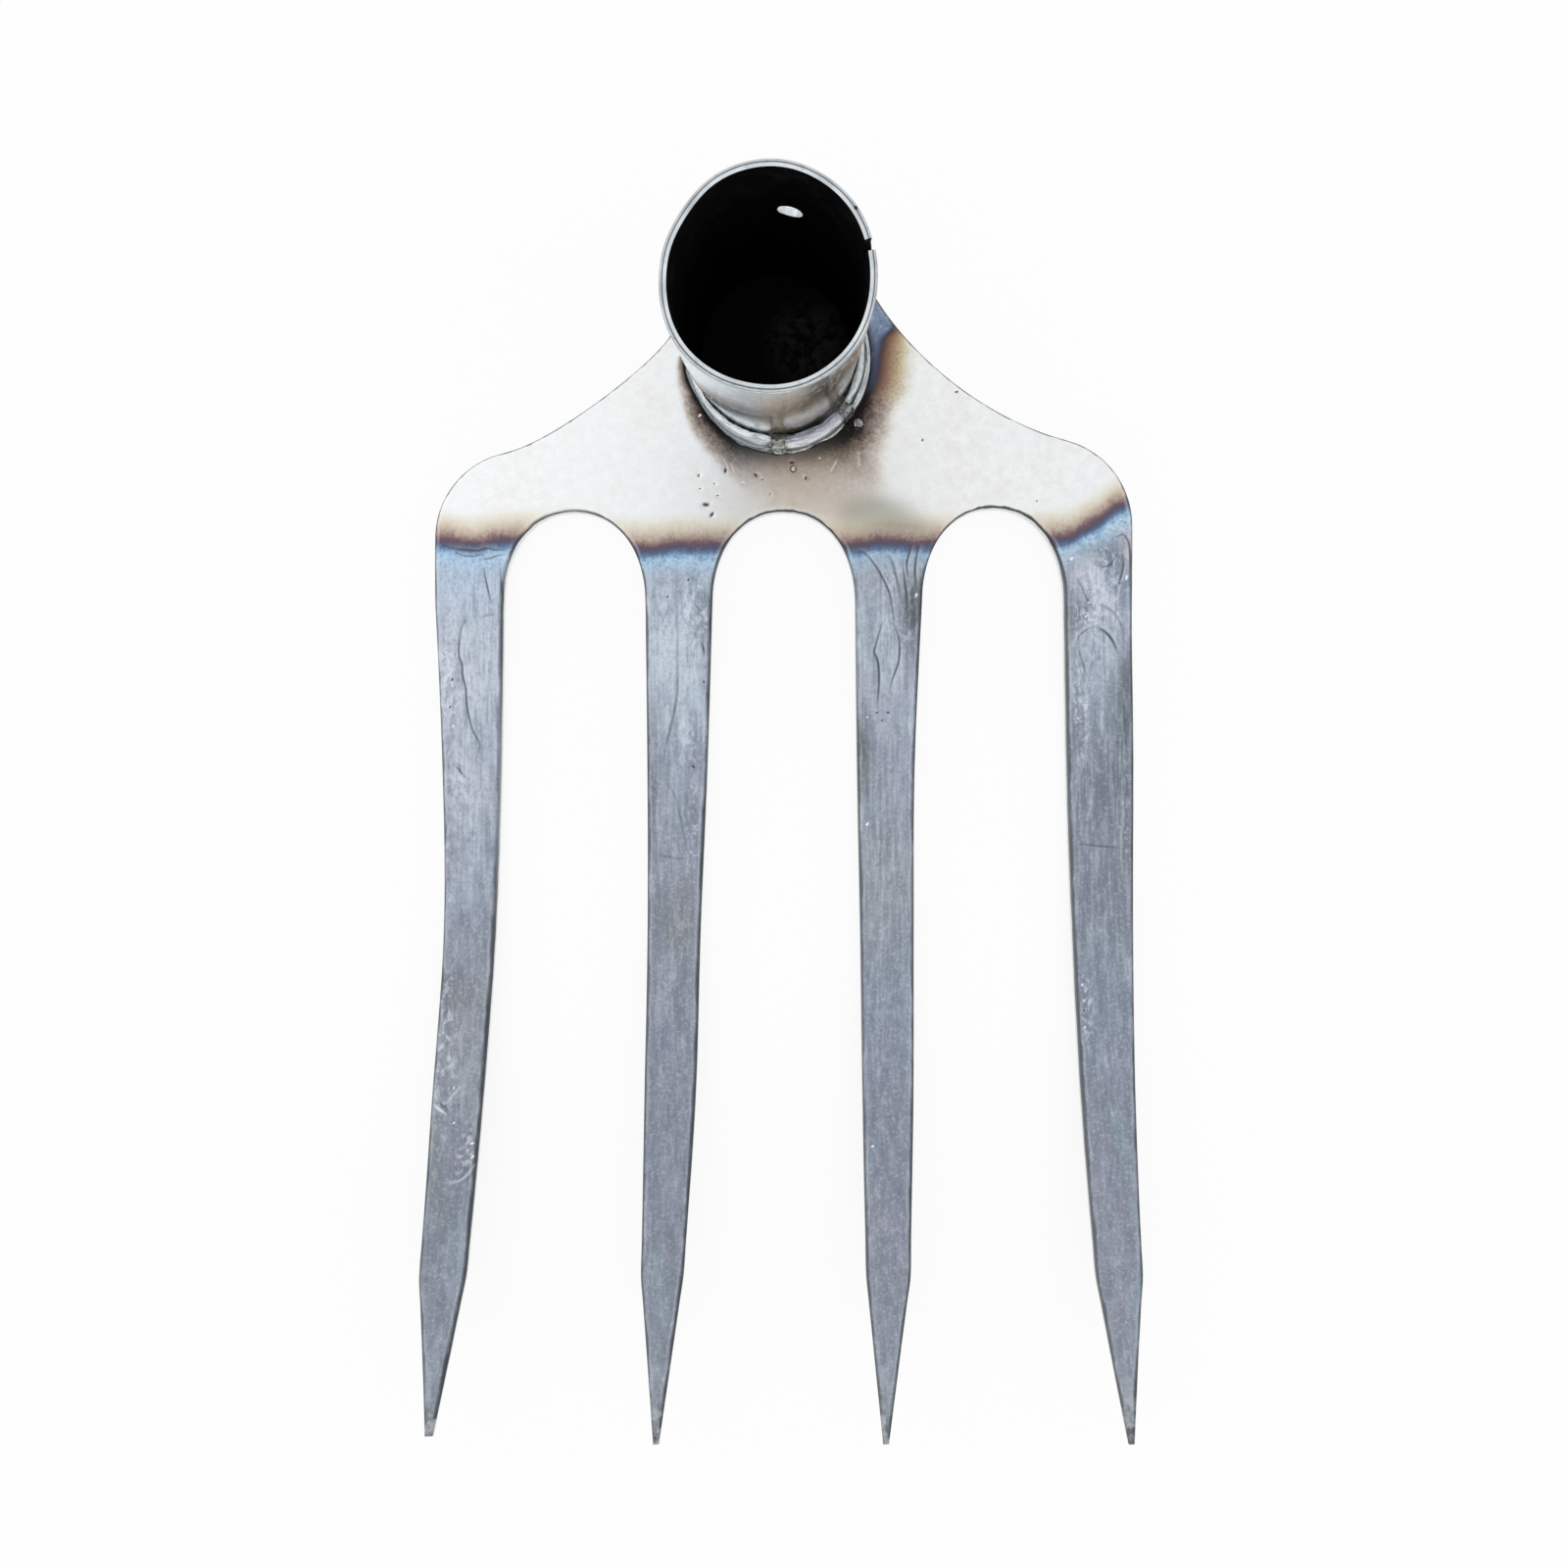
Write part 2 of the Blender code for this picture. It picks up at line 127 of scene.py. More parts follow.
def smoothLine(points, step, closed=False, cornerAngle=30):
    # a curve through the points, sampled about every step; a sharp turn stays a corner
    points = [np.array(p, float) for p in points]
    count = len(points)

    def at(i):
        return points[i % count] if closed else points[min(max(i, 0), count - 1)]

    def isCorner(i):
        before, after = at(i) - at(i - 1), at(i + 1) - at(i)
        turn = math.atan2(before[0] * after[1] - before[1] * after[0], before @ after)
        return abs(math.degrees(turn)) > cornerAngle

    line = []
    for i in range(count if closed else count - 1):
        p1, p2 = at(i), at(i + 1)
        p0 = 2 * p1 - p2 if isCorner(i) else at(i - 1)
        p3 = 2 * p2 - p1 if isCorner(i + 1) else at(i + 2)
        length = np.linalg.norm(p2 - p1)
        m1 = (p2 - p0) * length / (np.linalg.norm(p1 - p0) + length)
        m2 = (p3 - p1) * length / (np.linalg.norm(p3 - p2) + length)
        steps = max(1, math.ceil(length / step))
        for k in range(steps):
            t = k / steps
            line.append((2 * t**3 - 3 * t**2 + 1) * p1 + (t**3 - 2 * t**2 + t) * m1
                        + (3 * t**2 - 2 * t**3) * p2 + (t**3 - t**2) * m2)
    if not closed:
        line.append(points[-1])
    return np.array(line)


def addPiece(name, points, faces, finishes, cadNode, faceFinish=None):
    # a smooth-shaded piece from millimetre points, which stands for one CAD node
    mesh = bpy.data.meshes.new(name)
    mesh.from_pydata((np.array(points) * mm).tolist(), [], faces)
    for finish in finishes:
        mesh.materials.append(finish)
    if faceFinish is not None:
        mesh.polygons.foreach_set("material_index", faceFinish)
    mesh.shade_smooth()
    mesh.validate()
    piece = bpy.data.objects.new(name, mesh)
    bpy.context.scene.collection.objects.link(piece)
    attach(piece, "root")
    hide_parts(cadNode)
    return piece


# The tine plate. Its outline is the CAD node's, with the facets smoothed away.
plate = {
    "thickness": 4.0,
    "springY": -59.0,  # where the tines leave their roots
    "shankLength": 155.0,
    "pointLength": 34.0,
    "shankThickness": 3.4,
    "tipThickness": 1.3,
    "bendStartY": -106.0,
    "bendRadius": 505.0,
    "outlineStep": 0.7,
    "gridStep": 1.25,
    "webEdge": (0.55, 0.5),  # how far an edge's rounding reaches in, and how far down
    "tineLeftEdge": (1.0, 0.8),
    "tineRightEdge": (1.9, 1.1),
    "backEdge": (0.9, 0.5),
    "dentDepth": 0.09,  # hammer marks on the forged tines
    "dentLength": 9.0,
}

# Folds, cracks and scratches that the hammer left in the tines' faces. The route is in mm; dark is the
# painted shade along its line, bright the bare metal along it, and lit a painted highlight on the lip to
# the left of its direction.
hairline = {"depth": 0.03, "halfWidth": 0.25}  # a fine scratch in the weld's temper colours
forgingFolds = {
    "leftCrack": {"depth": 0.3, "dark": 0.9, "lit": 0.17, "route": (
        (-75.1, -62.7), (-76.2, -64.6), (-76.8, -68.1), (-76.9, -71.1), (-76.2, -73.4),
        (-76.0, -76.2), (-75.3, -79.2), (-75.1, -82.7), (-74.6, -85.5), (-73.7, -88.9),
        (-72.1, -92.0), (-72.1, -93.3), (-72.8, -95.9))},
    "leftRootStep": {"dark": 0.7, "lit": 0.12, "route": (
        (-79.7, -45.5), (-77.5, -46.1), (-75.0, -46.2), (-72.3, -46.4), (-70.4, -45.9),
        (-68.5, -46.2), (-65.8, -46.3))},
    "leftRootWave": {"dark": 0.65, "lit": 0.15, "route": (
        (-77.6, -46.9), (-75.8, -47.6), (-73.5, -47.8), (-71.6, -47.4))},
    "leftRootRight": {"dark": 0.65, "lit": 0.15, "route": (
        (-71.6, -48.6), (-69.3, -48.2), (-67.5, -47.6), (-65.8, -47.4))},
    "leftRootFold": {"dark": 0.85, "lit": 0.15, "route": (
        (-70.9, -51.0), (-70.2, -54.9), (-69.3, -58.6))},
    "leftEdgeFold": {"dark": 0.5, "lit": 0.2, "route": (
        (-67.2, -50.0), (-66.9, -54.0), (-66.6, -60.0))},
    "leftCrossFold": {"depth": 0.05, "dark": 0.4, "route": (
        (-71.8, -62.3), (-70.4, -61.9), (-68.8, -61.6))},
    "leftLowFold": {"dark": 0.85, "route": ((-77.4, -97.8), (-76.7, -98.5), (-76.0, -99.6))},
    "leftScar": {"bright": 0.9, "halfWidth": 0.5, "route": (
        (-81.2, -176.6), (-80.2, -177.4), (-79.0, -178.2))},
    "leftScarShade": {"dark": 0.7, "route": ((-80.4, -175.9), (-79.2, -176.7), (-78.4, -177.4))},
    "leftScarTail": {"depth": 0.06, "bright": 0.4, "route": (
        (-78.4, -175.6), (-77.2, -174.4), (-75.2, -172.2))},
    "leftScratch": {"depth": 0.05, "bright": 0.5, "route": (
        (-76.3, -193.6), (-74.4, -193.0), (-72.8, -191.6), (-71.6, -189.8))},
    "innerLeftSeam": {"depth": 0.1, "dark": 0.65, "halfWidth": 0.5, "route": (
        (-25.1, -71.5), (-25.2, -75.5), (-25.2, -79.9), (-25.8, -84.0), (-26.7, -88.0),
        (-27.8, -92.2), (-28.3, -95.7))},
    "innerLeftLow": {"depth": 0.06, "dark": 0.35, "route": (
        (-27.6, -101.0), (-25.6, -105.0), (-24.0, -112.0), (-22.6, -119.0))},
    "innerLeftCross": {"depth": 0.06, "dark": 0.4, "route": (
        (-29.4, -118.4), (-27.4, -118.9), (-25.4, -119.3), (-22.6, -119.3))},
    "innerLeftMark": {"dark": 0.95, "route": ((-19.3, -68.6), (-19.0, -69.6), (-18.9, -71.0))},
    "tearLeft": {"depth": 0.2, "dark": 0.95, "lit": 0.2, "route": (
        (23.3, -63.4), (22.3, -66.9), (21.4, -70.4), (22.3, -72.7), (22.6, -77.3), (22.1, -83.6))},
    "tearRight": {"depth": 0.2, "dark": 0.95, "lit": 0.15, "route": (
        (26.5, -64.6), (27.4, -68.1), (27.2, -72.7), (26.0, -76.2), (25.1, -79.2))},
    "upperWave": {"depth": 0.18, "dark": 0.85, "lit": 0.15, "halfWidth": 0.45, "route": (
        (17.0, -46.8), (18.6, -46.7), (19.8, -47.6), (21.8, -50.1), (22.9, -51.9), (23.9, -53.9),
        (25.0, -56.4), (25.6, -59.6), (26.0, -63.0))},
    "middleWave": {"dark": 0.7, "lit": 0.17, "halfWidth": 0.6, "route": (
        (24.6, -47.4), (25.7, -49.2), (26.4, -51.6), (27.0, -54.2), (27.4, -57.6))},
    "rightWave": {"dark": 0.75, "lit": 0.15, "halfWidth": 0.5, "route": (
        (28.1, -48.7), (28.4, -51.8), (28.8, -54.9), (29.1, -57.4), (29.3, -62.0))},
    "rootCrackLeft": {"depth": 0.2, "dark": 0.95, "lit": 0.3, "halfWidth": 0.5, "route": (
        (30.1, -45.8), (29.7, -47.2), (29.3, -48.6), (29.1, -50.0), (29.3, -52.4))},
    "rootCrackRight": {"depth": 0.2, "dark": 0.95, "lit": 0.3, "halfWidth": 0.5, "route": (
        (32.0, -45.4), (31.5, -47.4), (31.2, -49.6), (31.1, -52.0), (31.4, -55.4))},
    "rightArchLeft": {"depth": 0.1, "dark": 0.6, "lit": 0.2, "route": (
        (69.4, -68.2), (70.0, -66.6), (71.0, -65.6), (72.4, -64.8), (73.8, -64.4))},
    "rightArchRight": {"depth": 0.2, "dark": 0.95, "lit": 0.3, "halfWidth": 0.6, "route": (
        (74.4, -64.6), (76.0, -65.5), (77.4, -67.0), (78.3, -68.6), (78.8, -70.0))},
    "rightArchTail": {"dark": 0.6, "route": (
        (69.7, -69.4), (70.3, -71.4), (71.0, -73.6), (71.6, -76.4))},
    "rightArchOuter": {"depth": 0.08, "dark": 0.45, "route": (
        (74.6, -59.2), (77.3, -60.4), (79.0, -62.4), (80.0, -64.8), (80.3, -67.4))},
    "rightCross": {"depth": 0.08, "dark": 0.5, "route": (
        (70.1, -115.9), (72.4, -116.1), (76.2, -116.5), (79.2, -116.8))},
    "rightLobe": {"depth": 0.16, "dark": 0.95, "halfWidth": 0.45, "route": (
        (78.6, -43.2), (80.4, -42.6), (81.4, -43.9), (81.9, -46.0), (82.0, -50.0), (81.8, -54.6))},
    "rightLobeInner": {"dark": 0.85, "lit": 0.2, "route": (
        (80.0, -46.6), (80.4, -49.6), (80.0, -52.2), (79.2, -54.6))},
    "rightPatchEdge": {"dark": 0.55, "route": (
        (69.4, -53.0), (70.6, -55.0), (71.6, -57.6), (73.6, -60.4))},
    "rightPatch": {"dark": 0.65, "route": ((74.2, -49.8), (75.6, -50.4), (77.4, -49.8), (78.8, -47.6))},
    "heatScratchLeft": {"bright": 0.6, **hairline, "route": (
        (-14.1, -25.1), (-13.5, -26.2), (-13.2, -27.3))},
    "heatScratchInner": {"bright": 0.5, **hairline, "route": (
        (-12.5, -26.0), (-12.1, -27.0), (-11.8, -27.9))},
    "heatScratchFront": {"bright": 0.5, **hairline, "route": (
        (11.2, -27.6), (11.9, -26.4), (12.6, -25.1))},
    "heatScratchRight": {"bright": 0.5, **hairline, "route": (
        (17.9, -26.5), (17.8, -25.2), (17.7, -23.9))},
}


# Pits, chips and flecks: middle, half length, direction, depth and whether dark, with painted shade in the
# crater, or bright
surfacePits = [
    (40.9, -8.9, 0.55, 10, 0.18, "dark"), (32.8, -20.3, 0.45, 80, 0.15, "dark"),
    (59.9, -34.7, 0.35, 40, 0.12, "dark"), (-20.1, -28.7, 0.50, 70, 0.15, "dark"),
    (-18.4, -35.6, 1.00, -10, 0.20, "dark"), (-17.0, -37.9, 0.85, 55, 0.20, "dark"),
    (-19.8, -31.8, 0.35, 20, 0.10, "dark"), (-15.6, -33.4, 0.35, 0, 0.10, "dark"),
    (-16.4, -30.6, 0.30, 40, 0.08, "dark"), (-13.8, -27.5, 0.80, 80, 0.15, "dark"),
    (-6.6, -28.6, 0.70, -40, 0.12, "dark"), (-5.0, -29.6, 0.35, 40, 0.10, "dark"),
    (-3.2, -33.0, 0.35, 80, 0.10, "dark"), (5.2, -29.3, 0.60, 70, 0.12, "dark"),
    (1.9, -25.6, 0.70, 10, 0.14, "dark"), (-19.9, -14.5, 0.55, 40, 0.10, "bright"),
    (-9.6, -30.4, 0.35, 20, 0.08, "bright"), (8.6, -24.6, 0.35, 70, 0.08, "bright"),
    (22.1, -84.8, 0.45, 20, 0.14, "dark"), (24.7, -84.8, 0.50, 0, 0.16, "dark"),
    (19.8, -85.9, 0.35, 0, 0.10, "bright"), (23.3, -86.6, 0.35, 30, 0.10, "dark"),
    (19.8, -111.2, 0.60, 60, 0.12, "bright"), (-76.6, -180.4, 0.40, 40, 0.08, "bright"),
    (-77.0, -172.6, 0.35, 60, 0.08, "bright"), (-75.6, -176.6, 0.30, 80, 0.08, "dark"),
    (-72.2, -185.0, 0.55, 20, 0.12, "bright"), (-72.0, -188.0, 0.55, 50, 0.12, "bright"),
    (68.1, -48.4, 0.60, 30, 0.10, "bright"), (81.2, -52.8, 0.70, 80, 0.10, "bright"),
    (31.4, -57.0, 0.60, 80, 0.10, "bright"), (70.3, -149.0, 0.45, 70, 0.12, "bright"),
    (70.6, -152.6, 0.40, 60, 0.10, "bright"), (-22.6, -53.4, 0.45, 70, 0.12, "dark"),
    (-27.6, -57.4, 0.40, 60, 0.10, "dark"), (-78.5, -77.0, 0.50, 80, 0.12, "dark"),
    (-79.0, -83.5, 0.45, 60, 0.10, "dark"), (-78.3, -88.0, 0.40, 80, 0.10, "bright"),
    (-18.9, -77.5, 0.45, 80, 0.12, "dark"), (-21.4, -97.6, 0.55, -50, 0.12, "dark"),
    (71.6, -62.0, 0.45, 50, 0.12, "bright"), (72.2, -58.8, 0.40, 20, 0.10, "bright"),
    (70.6, -154.9, 0.45, 50, 0.12, "dark"), (70.7, -158.7, 0.40, 70, 0.10, "bright"),
    (20.6, -185.6, 0.50, 20, 0.12, "bright"),
]


# Soft stains and bare patches, and painted shade along some tine edges: middle, half width and half
# height, lean, colour and strength
stains = {
    "oliveSmudge": ((23.0, -38.6), (8.4, 4.4), -8, "#99998A", 0.62),
    "oliveSmudgeTop": ((19.0, -35.8), (5.0, 3.2), 0, "#A0A59E", 0.35),
    "smudgeLeft": ((15.5, -39.0), (3.5, 3.5), 0, "#B0A98E", 0.45),
    "creamUnderWeld": ((2.0, -34.0), (19.0, 9.0), 0, "#D9D4D0", 0.55),
    "leftUpperBlue": ((-75.0, -55.0), (9.0, 8.0), 0, "#B2C6DC", 0.65),
    "leftPale": ((-76.0, -76.0), (10.0, 14.0), 0, "#CED6E3", 0.74),
    "leftPaleLow": ((-77.0, -103.0), (9.0, 16.0), 5, "#C3CAD8", 0.80),
    "leftGreyGreen": ((-74.0, -67.0), (4.0, 7.0), 0, "#BBC7CC", 0.45),
    "leftMiddle": ((-77.0, -122.0), (8.0, 12.0), 0, "#AAB3C3", 0.70),
    "leftLower": ((-77.5, -166.0), (9.0, 16.0), 0, "#A0A4AC", 0.72),
    # painted shade along the left edge of the left tine
    "leftDarkSide": ((-79.6, -119.0), (2.0, 7.0), 0, "#5A5F6B", 0.85),
    "leftOlive": ((-76.5, -151.0), (7.0, 6.0), 0, "#7C807F", 0.75),
    "leftOliveEdge": ((-81.0, -188.0), (2.2, 14.0), 5, "#858984", 0.60),
    "leftLilac": ((-75.5, -186.0), (3.0, 10.0), -10, "#858797", 0.60),
    "innerLeftPale": ((-26.0, -69.0), (9.0, 12.0), 0, "#C8D2DF", 0.80),
    "innerLeftPaleLow": ((-22.8, -85.0), (3.8, 8.0), 0, "#BECBD8", 0.85),
    "innerLeftRoot": ((-25.0, -54.0), (8.0, 3.6), 0, "#AEB9C7", 0.60),
    # painted shade along an edge of the inner left tine
    "innerLeftDarkSide": ((-31.8, -101.0), (1.8, 15.0), 0, "#686B71", 0.90),
    "innerLeftTip": ((-30.0, -234.0), (2.0, 7.0), 0, "#7E848D", 0.70),
    "innerLeftBrown": ((-25.0, -134.0), (3.0, 9.0), 0, "#89857F", 0.60),
    "innerLeftDark": ((-26.0, -128.0), (8.0, 16.0), 0, "#878D97", 0.50),
    "innerRightBlue": ((25.0, -72.0), (8.0, 7.0), 0, "#A9B4C1", 0.62),
    "innerRightTop": ((22.0, -53.0), (6.0, 5.0), -30, "#9C9FA6", 0.55),
    "innerRightBlueTop": ((27.0, -46.8), (8.0, 3.0), 0, "#A5B6C8", 0.50),
    "innerRightOlive": ((24.0, -124.0), (7.0, 16.0), 0, "#989E9F", 0.55),
    "innerRightLilac": ((24.0, -158.0), (8.0, 14.0), 0, "#979DB0", 0.50),
    "innerRightTopBlue": ((25.0, -49.5), (9.0, 3.5), 0, "#A9B9CB", 0.70),
    # these two: painted shade along the edges of the inner right tine
    "innerRightDarkEdge": ((31.8, -61.5), (4.2, 13.0), 0, "#4E535A", 0.98),
    "innerRightOliveEdge": ((17.4, -97.0), (3.4, 12.0), 0, "#5C6062", 0.97),
    "smudgeFoot": ((27.7, -41.4), (8.0, 2.6), 0, "#8A807A", 0.55),
    # painted shade along an edge of the inner left tine
    "innerLeftDarkEdge": ((-18.9, -64.0), (2.8, 4.6), 0, "#656A74", 0.80),
    "innerLeftLilacEdge": ((-20.6, -93.5), (1.3, 6.0), 0, "#85889A", 0.70),
    # these four: painted shade along the edges of the right tine
    "rightDarkEdge": ((67.8, -61.0), (2.6, 12.0), 0, "#686C76", 0.88),
    "rightDarkLow": ((67.6, -90.0), (2.0, 8.0), 0, "#727584", 0.85),
    "rightFarEdge": ((82.2, -90.0), (4.4, 22.0), 0, "#575F67", 0.98),
    "rightFarEdgeLow": ((81.9, -120.0), (2.6, 16.0), 0, "#7A8087", 0.85),
    "rightPalePatch": ((73.6, -55.0), (4.0, 8.5), 32, "#D6DAE6", 0.90),
    "rightSpeckled": ((74.8, -47.4), (5.2, 2.4), -8, "#7F8C90", 0.85),
    "rightBlueZone": ((78.6, -52.5), (2.8, 7.5), 20, "#6A7F9A", 0.95),
    "rightDarkPatch": ((71.6, -60.5), (3.0, 4.0), 20, "#858A98", 0.70),
    "rightPinkLobe": ((80.8, -47.2), (1.5, 5.0), 0, "#B9B3BE", 0.70),
    "rightArchPale": ((74.0, -69.0), (4.0, 4.5), 0, "#BCC5D4", 0.60),
    "rightDark": ((75.0, -102.0), (9.0, 18.0), 0, "#6B7482", 0.85),
    "rightGrey": ((75.0, -128.0), (8.0, 14.0), 0, "#757A88", 0.70),
    "rightBlueLow": ((75.0, -153.0), (8.0, 14.0), 0, "#7F8C9E", 0.55),
}

# Where the plate's edges show pale, without their dark line of painted shade and their grey wall, and
# where the hammer crumpled the tines' skin: middle, half width and half height, strength
paleEdges = (
    ((-67.5, -104.0), (4.0, 26.0), 0.6), ((17.0, -75.0), (4.0, 40.0), 0.6),
    ((17.5, -160.0), (4.0, 30.0), 0.4), ((31.0, -128.0), (4.0, 22.0), 0.35),
    ((-53.0, -37.6), (7.0, 2.4), 0.6), ((-60.9, -41.9), (4.0, 3.0), 0.6),
    ((-65.6, -51.0), (1.6, 4.0), 0.7),
)

crumples = (
    ((-79.5, -77.0), (3.0, 13.0), 1.0), ((-77.5, -101.0), (3.4, 8.0), 0.8),
    ((-79.0, -122.0), (2.2, 12.0), 0.7), ((-80.0, -164.0), (3.6, 20.0), 0.9),
    ((-73.5, -188.0), (2.6, 8.0), 0.8), ((-20.6, -61.0), (3.6, 10.0), 1.0),
    ((-29.0, -62.0), (3.0, 7.0), 0.7), ((-22.0, -92.0), (4.0, 9.0), 0.6),
    ((-21.5, -112.0), (2.2, 14.0), 0.7), ((25.0, -54.0), (7.0, 5.0), 0.5),
    ((27.0, -66.0), (5.0, 6.0), 0.6), ((73.0, -61.0), (4.6, 8.0), 1.0),
    ((70.2, -84.0), (2.4, 13.0), 1.0), ((77.0, -49.0), (5.0, 5.0), 0.8),
    ((79.0, -57.0), (3.0, 7.0), 0.8), ((81.6, -110.0), (2.0, 16.0), 0.5),
    ((70.6, -154.0), (2.0, 10.0), 0.9), ((74.0, -73.0), (5.0, 5.0), 0.5),
)



def plateRise(y):
    reach = np.maximum(0, plate["bendStartY"] - y)
    return plate["bendRadius"] - np.sqrt(plate["bendRadius"] ** 2 - reach**2)


def plateThickness(y):
    shoulderY = plate["springY"] - plate["shankLength"]
    rows = (shoulderY - plate["pointLength"], shoulderY, plate["springY"])
    return np.interp(y, rows, (plate["tipThickness"], plate["shankThickness"], plate["thickness"]))


def cadOutline(node):
    # the corners of the node's upright side wall, seen from above, joined end to end
    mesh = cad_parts[node].data
    neighbours = {}
    for face in mesh.polygons:
        if abs(face.normal.z) > 0.3:
            continue
        for pair in face.edge_keys:
            a, b = (tuple(round(c / mm, 2) for c in mesh.vertices[i].co[:2]) for i in pair)
            if a != b:
                neighbours.setdefault(a, set()).add(b)
                neighbours.setdefault(b, set()).add(a)
    start = max(neighbours, key=lambda p: p[1])
    loop, last = [start], None
    while True:
        step = min(p for p in neighbours[loop[-1]] if p != last)
        if step == start and len(loop) > 2:
            break
        last = loop[-1]
        loop.append(step)
    corners = np.array(loop)
    around = np.roll(corners, -1, axis=0)
    area = (corners[:, 0] * around[:, 1] - around[:, 0] * corners[:, 1]).sum()
    return corners if area > 0 else corners[::-1]


def edgeSizes(y, outwardX, back=False):
    # how far in and how far down the rounded edge reaches here; it narrows towards a tine's tip
    if back:
        reach, drop = (np.full(len(y), v) for v in plate["backEdge"])
    else:
        onTine = smoothStep(plate["springY"] + 6, plate["springY"] - 12, y)
        right = smoothStep(-0.3, 0.3, outwardX)
        reach, drop = (
            web + (left + (far - left) * right - web) * onTine
            for web, left, far in zip(plate["webEdge"], plate["tineLeftEdge"], plate["tineRightEdge"])
        )
    shoulderY = plate["springY"] - plate["shankLength"]
    narrowing = np.clip((shoulderY - y) / plate["pointLength"], 0, 1)
    return reach * (1 - 0.85 * narrowing), drop * (1 - 0.75 * narrowing)


def markLine(points, edges, route, depth=0.14, dark=0.0, bright=0.0, lit=0.0, halfWidth=0.42):
    # a groove with its lowest line along the route, shallower at both ends
    line = smoothLine(route, 0.45)
    along = np.gradient(line, axis=0)
    along /= np.linalg.norm(along, axis=1)[:, None]
    side = np.stack((-along[:, 1], along[:, 0]), axis=1) * halfWidth
    for i, middle in enumerate(line):
        fade = math.sin(math.pi * (i + 0.7) / (len(line) + 0.4)) ** 0.5
        if i:
            edges.append((len(points) - 3, len(points)))
        points.append((*middle, -depth * fade, dark * fade, bright * fade))
        # the lip beside the groove, raised a little and painted bright as a highlight by lit
        points.append((*(middle + side[i]), 0.05 * fade, 0.0, lit * fade))
        points.append((*(middle - side[i]), 0.0, 0.0, 0.0))
    return line


def markPit(points, x, y, halfLength, direction, depth, tone):
    # a small crater, longer than it is wide, with a thin raised lip
    dark, bright = (1.0, 0.0) if tone == "dark" else (0.0, 1.0)
    lean = math.radians(direction)
    points.append((x, y, -depth, dark, bright))
    for reach, height, share in ((0.55, -0.7 * depth, 0.9), (1.15, 0.03, 0.0)):
        for i in range(8):
            turn = math.tau * i / 8
            a = halfLength * reach * math.cos(turn) * (1 + 0.2 * wobble(x + i, y))
            b = halfLength * reach * math.sin(turn) * 0.55
            points.append((x + a * math.cos(lean) - b * math.sin(lean),
                           y + a * math.sin(lean) + b * math.cos(lean),
                           height, dark * share, bright * share))


def patchShare(x, y, middle, halfSize, lean=0):
    # 1 in the middle of a soft oval patch, and fading out round it
    c, s = math.cos(math.radians(lean)), math.sin(math.radians(lean))
    u = ((x - middle[0]) * c + (y - middle[1]) * s) / halfSize[0]
    v = ((y - middle[1]) * c - (x - middle[0]) * s) / halfSize[1]
    return np.exp(-((u * u + v * v) ** 1.3))


def softPatches(x, y, patches):
    # where patches overlap, the strongest one counts
    total = np.zeros(len(x))
    for middle, halfSize, strength in patches:
        total = np.maximum(total, strength * patchShare(x, y, middle, halfSize))
    return total


def stainColors(x, y):
    # the stains' mixed colour at each point, with its strength in the last channel
    trace = 1e-4  # of a plain grey, so that the mix is never empty
    total = np.full(len(x), trace)
    color = np.tile(np.array(linear("#B0B8C2"))[:3] * trace, (len(x), 1))
    bare = np.ones(len(x))
    for middle, halfSize, lean, hexColor, strength in stains.values():
        weight = strength * patchShare(x, y, middle, halfSize, lean)
        total += weight
        color += weight[:, None] * np.array(linear(hexColor))[:3]
        bare *= 1 - weight
    return np.column_stack((color / total[:, None], 1 - bare))


def insideOutline(samples, index, x, y):
    # the outline runs anticlockwise, so a point inside lies to its left
    here, run = samples[index], samples[(index + 1) % len(samples)] - samples[index - 1]
    return run[0] * (y - here[1]) - run[1] * (x - here[0]) > 0


def flatTree(points):
    tree = kdtree.KDTree(len(points))
    for i, (x, y) in enumerate(points):
        tree.insert((x, y, 0), i)
    tree.balance()
    return tree


